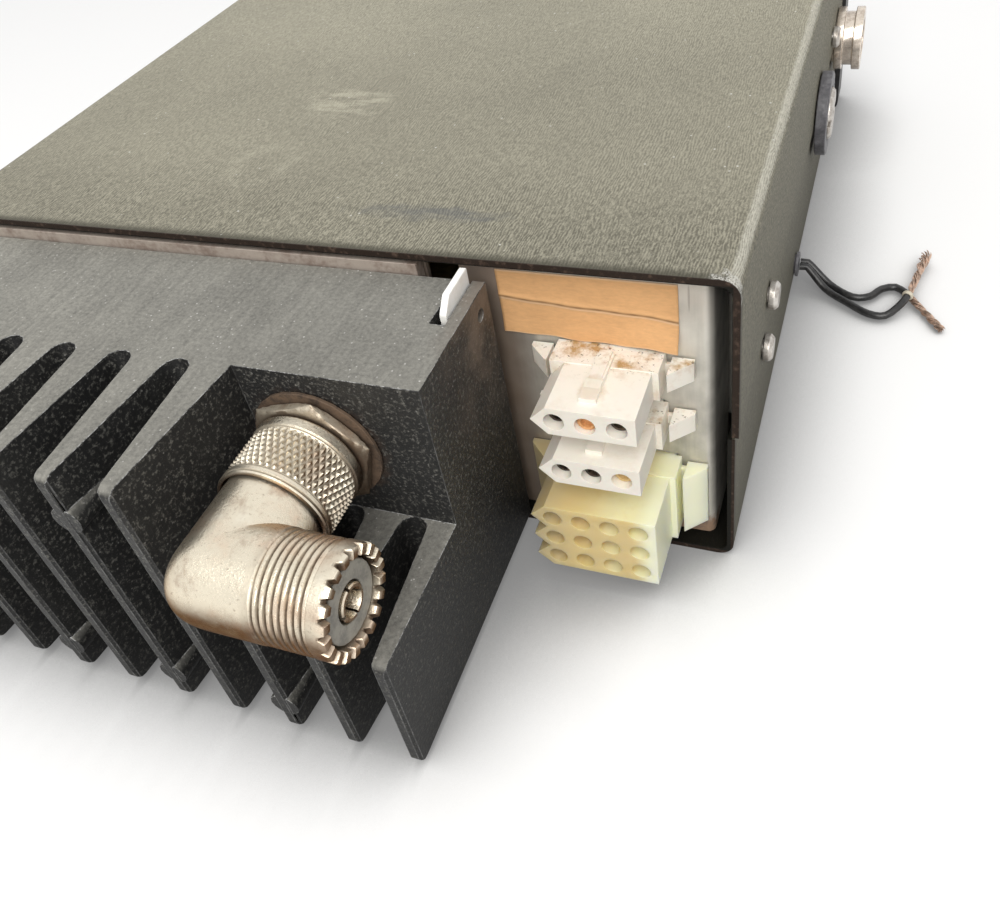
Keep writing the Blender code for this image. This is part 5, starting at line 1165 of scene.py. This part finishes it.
def elbow_points(look):
    """A round elbow in one sheet. With c and s the cosine and sine round its section and R its radius, the
    neck is (R c, y, R s), the corner is R (max(c, 0) (cos q, sin q) ^ k + min(c, 0) (1, 1), s) as q turns 90
    degrees, and the outlet is (x, r c, r s), where r drops by the thread's groove and the mouth's x by its
    teeth."""
    low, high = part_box("adapter_elbow")
    axis_x, _, axis_z = box_middle("adapter_coupling_ring")
    radius = (high.z - low.z) / 2
    corner_y = high.y - radius
    t = turn_angles(TOOTH_STEPS * look.teeth)
    c, s = np.cos(t), np.sin(t)
    inner, outer = np.minimum(c, 0), np.maximum(c, 0)
    sheet, dirt = [], []

    def add(x, y, z, grime=0.0):
        """Rows of the sheet, from values for each row, each column or both."""
        x, y, z, grime, _ = np.broadcast_arrays(x, y, z, grime, t[None])
        sheet.append(np.stack((x, y, z), -1))
        dirt.append(grime)

    cap = np.array((0.0, radius))[:, None]
    add(axis_x + cap * c, low.y, axis_z + cap * s, 0.4)
    neck_end = corner_y + radius * inner
    steps = np.linspace(0.12, 1.0, NECK_ROWS)[:, None]
    add(axis_x + radius * c, low.y + (neck_end - low.y) * steps, axis_z + radius * s)
    q = np.linspace(0, np.pi / 2, CORNER_ROWS + 1)[1:, None]
    ahead, aside = np.abs(np.cos(q)) ** look.corner, np.sin(q) ** look.corner
    add(axis_x + radius * (outer * ahead + inner), corner_y + radius * (outer * aside + inner),
        axis_z + radius * s)
    mouth = low.x
    tooth_base = mouth + look.tooth
    thread_end = tooth_base + look.rim
    thread_start = thread_end + look.thread_length
    begin = axis_x + radius * inner
    steps = np.linspace(0.0, 1.0, OUTLET_ROWS + 1)[1:, None]
    add(begin + (thread_start - begin) * steps, corner_y + radius * c, axis_z + radius * s,
        0.25 * (steps == 1.0))
    land = radius - 0.00010
    turns = round(look.thread_length / look.thread_pitch)
    rubbed = np.abs((t + RUB_PLACE + np.pi) % TURN - np.pi)
    whole = rise(rubbed, *RUB_REACH)
    x = np.linspace(thread_start - 0.00012, thread_end, turns * THREAD_STEPS)[:, None]
    phase = (thread_start - x) / look.thread_pitch + t / TURN
    ends = rise(thread_start - x, 0.0, THREAD_FADE) * rise(x - thread_end, 0.0, THREAD_FADE)
    groove = np.clip(1 - np.abs(2 * (phase % 1.0) - 1) / THREAD_WIDTH, 0, 1) * ends * whole
    r = land - look.thread_depth * groove - RUB_DEPTH * (1 - whole) * ends
    add(x, corner_y + r * c, axis_z + r * s, rise(groove, 0.12, 0.70))
    gap = 1 - rise(wave(look.teeth * t / TURN), 0.18, 0.46)
    brim = land + 0.00008
    bore = brim - look.wall
    top = mouth + look.tooth * 0.75 * gap
    # Place along the outlet, radius and dirt, over the mouth and down into the bore
    mouth_rows = ((thread_end - 0.0001, brim, 0.3), (tooth_base + 0.0001, brim, 0.1),
                  (top + 0.00028, brim, 0.55 * gap), (top + 0.00008, brim - 0.00010, 0.5 * gap),
                  (top, brim - 0.00030, 0.5 * gap), (top, bore + 0.00030, 0.7 * gap),
                  (top + 0.00010, bore + 0.00008, 0.7 * gap), (top + 0.00030, bore, 0.8 * gap),
                  (tooth_base + 0.0003, bore, 0.7), (tooth_base + 0.0022, bore, 0.9),
                  (tooth_base + 0.0022, 0.0, 0.9))
    for x, r, grime in mouth_rows:
        add(x, corner_y + r * c, axis_z + r * s, grime)
    return np.concatenate(sheet), np.concatenate(dirt)


def make_contact():
    """A slit tube: arcs that are each a ring profile carried over a little less than a quarter turn."""
    low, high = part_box("adapter_contact")
    middle = box_middle("adapter_contact") * (0, 1, 1)
    outer = (high.z - low.z) / 2
    inner = outer - CONTACT_WALL
    profile = np.array(((low.x, inner + 0.0002), (low.x, outer - 0.0002), (low.x + 0.0002, outer),
                        (high.x, outer), (high.x, inner), (low.x + 0.0004, inner), (low.x, inner + 0.0002)))
    each = len(profile) * CONTACT_STEPS
    points, faces = [], []
    for i in range(CONTACT_PETALS):
        t = (i + np.linspace(0.06, 0.94, CONTACT_STEPS)) / CONTACT_PETALS * TURN
        rim = np.stack((0 * t, np.cos(t), np.sin(t)), -1)[None]
        arc = middle + profile[:, None, :1] * AXES["X"] + profile[:, None, 1:] * rim
        index = np.arange(each).reshape(arc.shape[:2]) + i * each
        points.append(arc.reshape(-1, 3))
        faces += [*(grid_faces(*index.shape, closed=False) + i * each), index[:-1, 0], index[:-1, -1]]
    return add_piece("contact_petals", np.concatenate(points), faces, "worn_nickel", "adapter",
                     ["adapter_contact"])


def make_antenna(look):
    """Socket, rusty washer, chamfered nut, knurled ring, threaded elbow, insulator and slit contact."""
    dress_group("antenna")
    axis = box_middle("adapter_coupling_ring") * (1, 0, 1)
    turned = (("knurled_ring", ring_grid, "coupling_ring", "adapter_coupling_ring"),
              ("chamfered_nut", nut_grid, "case", "antenna_nut"))
    for name, grid, body, node in turned:
        along, radius, dirt = grid(look)
        points = round_points(axis, along, radius, radius.shape[1])
        add_piece(name, points, grid_faces(*radius.shape), "worn_nickel", body, [node],
                  {"grime": dirt})
    points, dirt = elbow_points(look)
    add_piece("threaded_elbow", points, grid_faces(*dirt.shape), "worn_nickel", "adapter",
              ["adapter_elbow"], {"grime": dirt})
    make_contact()


def tongue_blocks(look, node):
    """A latch tongue: a narrow strap from the collar, and a wider wedge whose top falls towards the face."""
    _, face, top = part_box(node)[1]
    strap = block_points((look.latch_x, face - 0.0100, top - 0.0005), (look.tongue / 2, 0.0037, 0.0008))
    wedge = block_points((look.latch_x, face - 0.0050, top - 0.0005), (look.tongue * 0.66, 0.0016, 0.0009))
    wedge[(wedge[:, 1] > face - 0.0040) & (wedge[:, 2] > top)] -= (0.0, 0.0, TONGUE_DROP)
    return [strap, wedge]


def make_plugs(look):
    """The three nylon connectors with rounded edges, latch tongues, and what closes their pin holes."""
    for node, name in (("power_plug_upper", "cream_nylon"), ("power_plug_lower", "cream_nylon"),
                       ("accessory_plug", "clear_nylon")):
        dress(node, name, look.edge)
    r = look.contact
    profile = [(-0.003, 0.0), (-0.003, r), (0.0, r), (0.0003, r - 0.0003), (0.0002, r * 0.6),
               (-0.0006, r * 0.5), (-0.0006, 0.0)]
    for node, fills in PIN_FILLS.items():
        add_blocks(f"{node}_tongue", tongue_blocks(look, node), "cream_nylon", "case")
        low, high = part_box(node)
        height = low.z + (high.z - TONGUE_DROP - low.z) / 2
        for i, (name, depth) in enumerate(fills):
            middle = (PIN_RIGHT + i * PIN_PITCH, high.y - depth, height)
            add_round(f"{node}_contact_{i}", middle, profile, PIN_SIDES, name, "case")


# Front

FLUTE_STEPS = 10
GRIP_ROWS = 12
KNOB_GAP = 0.0010
CAP_SIDES = 64
POINTER_HALF = (0.0005, 0.00025)
DIGIT_THICKNESS = 0.00008
MARK_HALF = 0.00006
CONTROL_SWEEP = 150
CONTROL_TICKS = 11
CONTROL_TICK_GAP = 0.0016
CONTROL_TICK_HALF = (0.00018, MARK_HALF, 0.0008)
METER_SWEEP = 40
METER_TICKS = 11
METER_TICK_LENGTHS = (0.0017, 0.0011)
METER_TICK_HALF = 0.00014
METER_ARC_STEPS = 33
METER_ARC_HALF = (0.00028, MARK_HALF, 0.00010)
METER_DIGITS = "013579"
METER_FACE_DEPTH = 0.0015
METER_PIVOT_DROP = 0.0070


def knob_grid(look, node, flutes):
    """Knob radius = side profile - flute depth * a rounded wave round it, on the grip alone."""
    low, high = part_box(node)
    outer = (high.x - low.x) / 2
    front, back = low.y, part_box("fascia_plate")[0].y - KNOB_GAP
    columns = FLUTE_STEPS * flutes
    grip = np.linspace(back - 0.0032, front + 0.0014, GRIP_ROWS)
    # Place along the axis and radius of the skirt behind the grip and of the nose before it
    skirt = np.array(((back, 0.0), (back, outer - 0.0003), (back - 0.0003, outer), (back - 0.0016, outer),
                      (back - 0.0022, outer - 0.0006)))
    nose = np.array(((front + 0.0010, outer - 0.0013), (front + 0.0003, outer - 0.0019),
                     (front, outer - 0.0026), (front, outer - 0.0040), (front + 0.0004, outer - 0.0043),
                     (front + 0.0004, 0.0)))
    slope = outer - 0.0006 - 0.0006 * (back - grip) / (back - front)
    flute = look.flute_depth * (0.5 + 0.5 * np.cos(flutes * turn_angles(columns))) ** 2
    ends = np.sin(np.pi * np.linspace(0.12, 0.88, len(grip))) ** 0.5
    along = grid_rows(columns, skirt[:, :1], grip[:, None], nose[:, :1])
    radius = grid_rows(columns, skirt[:, 1:], slope[:, None] - flute[None] * ends[:, None], nose[:, 1:])
    return along, radius, outer, front


def make_knobs(look):
    """Fluted knobs with an aluminium cap and a white pointer."""
    rows = (("channel_knob", "channel_selector", look.flutes), ("volume_knob", "volume", look.flutes // 2),
            ("squelch_knob", "squelch", look.flutes // 2))
    for node, body, flutes in rows:
        along, radius, outer, front = knob_grid(look, node, flutes)
        x, _, z = box_middle(node)
        middle = (x, 0.0, z)
        points = round_points(middle, along, radius, radius.shape[1])
        add_piece(f"fluted_{node}", points, grid_faces(*radius.shape), "black_plastic", body,
                  [node])
        cap = outer - 0.0044
        profile = [(front + 0.0005, 0.0), (front + 0.0005, cap), (front + 0.0001, cap),
                   (front - 0.0001, cap - 0.0002), (front - 0.0001, cap - 0.0008),
                   (front + 0.0001, cap - 0.0012), (front + 0.0001, 0.0)]
        add_round(f"{node}_cap", middle, profile, CAP_SIDES, "brushed_aluminium", body)
        begin, end = cap - 0.0005, outer - 0.0024
        centre = (x, front + 0.0001, z + (begin + end) / 2)
        pointer = block_points(centre, (*POINTER_HALF, (end - begin) / 2))
        add_blocks(f"{node}_pointer", [pointer], "pointer_ink", body)


def digit_mesh(text, height):
    """A text's flat mesh about its middle, as points in the plane and faces."""
    curve = bpy.data.curves.new("digits", "FONT")
    curve.body = text
    curve.size = height
    curve.align_x = "CENTER"
    curve.align_y = "CENTER"
    holder = bpy.data.objects.new("digits", curve)
    mesh = bpy.data.meshes.new_from_object(holder)
    points = np.empty(3 * len(mesh.vertices))
    mesh.vertices.foreach_get("co", points)
    faces = [list(face.vertices) for face in mesh.polygons]
    bpy.data.objects.remove(holder)
    bpy.data.curves.remove(curve)
    bpy.data.meshes.remove(mesh)
    return points.reshape(-1, 3)[:, :2], faces


def add_numbers(name, texts, places, turns, height, material, body):
    """Flat numbers that face the front, each at its place and turned about its middle."""
    points, faces, start = [], [], 0
    for text, (x, y, z), turn in zip(texts, places, turns):
        flat, corners = digit_mesh(text, height)
        a = flat @ np.array(((np.cos(turn), np.sin(turn)), (-np.sin(turn), np.cos(turn))))
        points.append(np.stack((x + a[:, 0], np.full(len(a), y), z + a[:, 1]), -1))
        faces += [[i + start for i in face] for face in corners]
        start += len(a)
    mesh = bpy.data.meshes.new(name)
    mesh.from_pydata(np.concatenate(points).tolist(), [], faces)
    mesh.materials.append(finish(material))
    obj = add_object(name, mesh)
    thicken(obj, DIGIT_THICKNESS)
    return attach(obj, body)


def fan_places(pivot, reach, turns):
    """Points at a reach from a pivot, each turned from straight up: pivot + reach (sin t, 0, cos t)."""
    x, y, z = pivot
    return np.stack(np.broadcast_arrays(x + reach * np.sin(turns), y, z + reach * np.cos(turns)), -1)


def make_dial_numbers(look):
    """Channel numbers round the dial; the first shows in the window at rest."""
    x, _, z = box_middle("channel_dial")
    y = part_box("channel_dial")[0].y - 0.00005
    reach = x - box_middle("dial_window")[0]
    turns = turn_angles(look.numbers)
    places = np.stack(np.broadcast_arrays(x - reach * np.cos(turns), y, z - reach * np.sin(turns)), -1)
    add_numbers("dial_numbers", [str(i + 1) for i in range(look.numbers)], places, turns, look.number_height,
                "mark_ink", "channel_selector")


def make_control_ticks():
    """Ticks round the two small knobs."""
    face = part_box("fascia_plate")[0].y
    turns = np.radians(np.linspace(-CONTROL_SWEEP, CONTROL_SWEEP, CONTROL_TICKS))
    ticks = []
    for node in ("volume_knob", "squelch_knob"):
        low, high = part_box(node)
        x, _, z = box_middle(node)
        places = fan_places((x, face, z), (high.x - low.x) / 2 + CONTROL_TICK_GAP, turns)
        ticks += [block_points(centre, CONTROL_TICK_HALF, turn) for centre, turn in zip(places, turns)]
    add_blocks("control_ticks", ticks, "mark_ink", "case")


def make_meter_scale(look):
    """The meter's long and short ticks, its arc and its numbers."""
    x, _, z = box_middle("meter_case")
    pivot = (x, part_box("meter_case")[1].y - METER_FACE_DEPTH - MARK_HALF, z - METER_PIVOT_DROP)
    marks = []
    for i, turn in enumerate(np.radians(np.linspace(-METER_SWEEP, METER_SWEEP, METER_TICKS))):
        half = METER_TICK_LENGTHS[i % 2] / 2
        centre = fan_places(pivot, look.scale_radius + half, turn)
        marks.append(block_points(centre, (METER_TICK_HALF, MARK_HALF, half), turn))
    for turn in np.radians(np.linspace(-METER_SWEEP, METER_SWEEP, METER_ARC_STEPS)):
        marks.append(block_points(fan_places(pivot, look.scale_radius, turn), METER_ARC_HALF, turn))
    add_blocks("meter_ticks", marks, "mark_ink", "case")
    turns = np.radians(np.linspace(-METER_SWEEP, METER_SWEEP, len(METER_DIGITS)))
    places = fan_places(pivot, look.scale_radius - look.meter_number, turns)
    add_numbers("meter_numbers", METER_DIGITS, places, -turns, look.meter_number, "mark_ink", "case")


# Operators

class TRANSCEIVER_OT_stage(bpy.types.Operator):
    """Make the camera, the lamps and the floor"""
    bl_idname = "transceiver.stage"
    bl_label = "Stage"

    def execute(self, context):
        look = context.scene.transceiver_stage
        context.scene.view_settings.view_transform = "Standard"
        make_camera(look)
        make_floor(look)
        make_lamps(look)
        return {"FINISHED"}


class TRANSCEIVER_OT_lead_wires(bpy.types.Operator):
    """Lay the two lead wires and their copper ends"""
    bl_idname = "transceiver.lead_wires"
    bl_label = "Lead Wires"

    def execute(self, context):
        make_lead_wires(context.scene.transceiver_cords)
        return {"FINISHED"}


class TRANSCEIVER_OT_case(bpy.types.Operator):
    """Dress the covers and their screws"""
    bl_idname = "transceiver.case"
    bl_label = "Case"

    def execute(self, context):
        make_case(context.scene.transceiver_case)
        return {"FINISHED"}


class TRANSCEIVER_OT_panel(bpy.types.Operator):
    """Dress the rear panel and stick its label on"""
    bl_idname = "transceiver.panel"
    bl_label = "Rear Panel"

    def execute(self, context):
        make_panel(context.scene.transceiver_panel)
        return {"FINISHED"}


class TRANSCEIVER_OT_heat_sink(bpy.types.Operator):
    """Dress the finned casting"""
    bl_idname = "transceiver.heat_sink"
    bl_label = "Heat Sink"

    def execute(self, context):
        make_heat_sink(context.scene.transceiver_sink)
        return {"FINISHED"}


class TRANSCEIVER_OT_antenna(bpy.types.Operator):
    """Make the antenna socket's nut and the right-angle adapter"""
    bl_idname = "transceiver.antenna"
    bl_label = "Antenna Adapter"

    def execute(self, context):
        make_antenna(context.scene.transceiver_adapter)
        return {"FINISHED"}


class TRANSCEIVER_OT_plugs(bpy.types.Operator):
    """Dress the nylon connectors"""
    bl_idname = "transceiver.plugs"
    bl_label = "Connectors"

    def execute(self, context):
        make_plugs(context.scene.transceiver_plugs)
        return {"FINISHED"}


class TRANSCEIVER_OT_side_fittings(bpy.types.Operator):
    """Dress the microphone socket and the mounting screws"""
    bl_idname = "transceiver.side_fittings"
    bl_label = "Side Fittings"

    def execute(self, context):
        dress_group("sides")
        return {"FINISHED"}


class TRANSCEIVER_OT_front(bpy.types.Operator):
    """Dress the front and make its knobs and scales"""
    bl_idname = "transceiver.front"
    bl_label = "Front"

    def execute(self, context):
        look = context.scene.transceiver_front
        dress_group("front")
        make_knobs(look)
        make_dial_numbers(look)
        make_control_ticks()
        make_meter_scale(look)
        return {"FINISHED"}


class TRANSCEIVER_OT_inside(bpy.types.Operator):
    """Dress the chassis, the boards and the speaker"""
    bl_idname = "transceiver.inside"
    bl_label = "Inside"

    def execute(self, context):
        dress_group("inside")
        return {"FINISHED"}


LOOKS = {
    "transceiver_stage": StageLook,
    "transceiver_cords": CordLook,
    "transceiver_case": CaseLook,
    "transceiver_panel": PanelLook,
    "transceiver_sink": SinkLook,
    "transceiver_adapter": AdapterLook,
    "transceiver_plugs": PlugLook,
    "transceiver_front": FrontLook,
}
OPERATORS = (TRANSCEIVER_OT_stage, TRANSCEIVER_OT_lead_wires, TRANSCEIVER_OT_case, TRANSCEIVER_OT_panel,
             TRANSCEIVER_OT_heat_sink, TRANSCEIVER_OT_antenna, TRANSCEIVER_OT_plugs,
             TRANSCEIVER_OT_side_fittings, TRANSCEIVER_OT_front, TRANSCEIVER_OT_inside)


class TRANSCEIVER_PT_looks(bpy.types.Panel):
    """Sizes, colours and steps of the transceiver"""
    bl_idname = "TRANSCEIVER_PT_looks"
    bl_label = "Transceiver"
    bl_space_type = "VIEW_3D"
    bl_region_type = "UI"
    bl_category = "Transceiver"

    def draw(self, context):
        for name, look in LOOKS.items():
            box = self.layout.box()
            box.label(text=look.__doc__)
            for word in look.__annotations__:
                box.prop(getattr(context.scene, name), word)
        for operator in OPERATORS:
            self.layout.operator(operator.bl_idname)


CLASSES = (*LOOKS.values(), *OPERATORS, TRANSCEIVER_PT_looks)


def register():
    """Register the classes and hang the looks on the scene."""
    for made in CLASSES:
        bpy.utils.register_class(made)
    for name, look in LOOKS.items():
        setattr(bpy.types.Scene, name, PointerProperty(type=look))


def unregister():
    """Take the looks and the classes away again."""
    for name in LOOKS:
        delattr(bpy.types.Scene, name)
    for made in reversed(CLASSES):
        bpy.utils.unregister_class(made)


def main():
    register()
    bpy.ops.transceiver.stage()
    bpy.ops.transceiver.lead_wires()
    bpy.ops.transceiver.case()
    bpy.ops.transceiver.panel()
    bpy.ops.transceiver.heat_sink()
    bpy.ops.transceiver.antenna()
    bpy.ops.transceiver.plugs()
    bpy.ops.transceiver.side_fittings()
    bpy.ops.transceiver.front()
    bpy.ops.transceiver.inside()


if __name__ == "__main__":
    main()
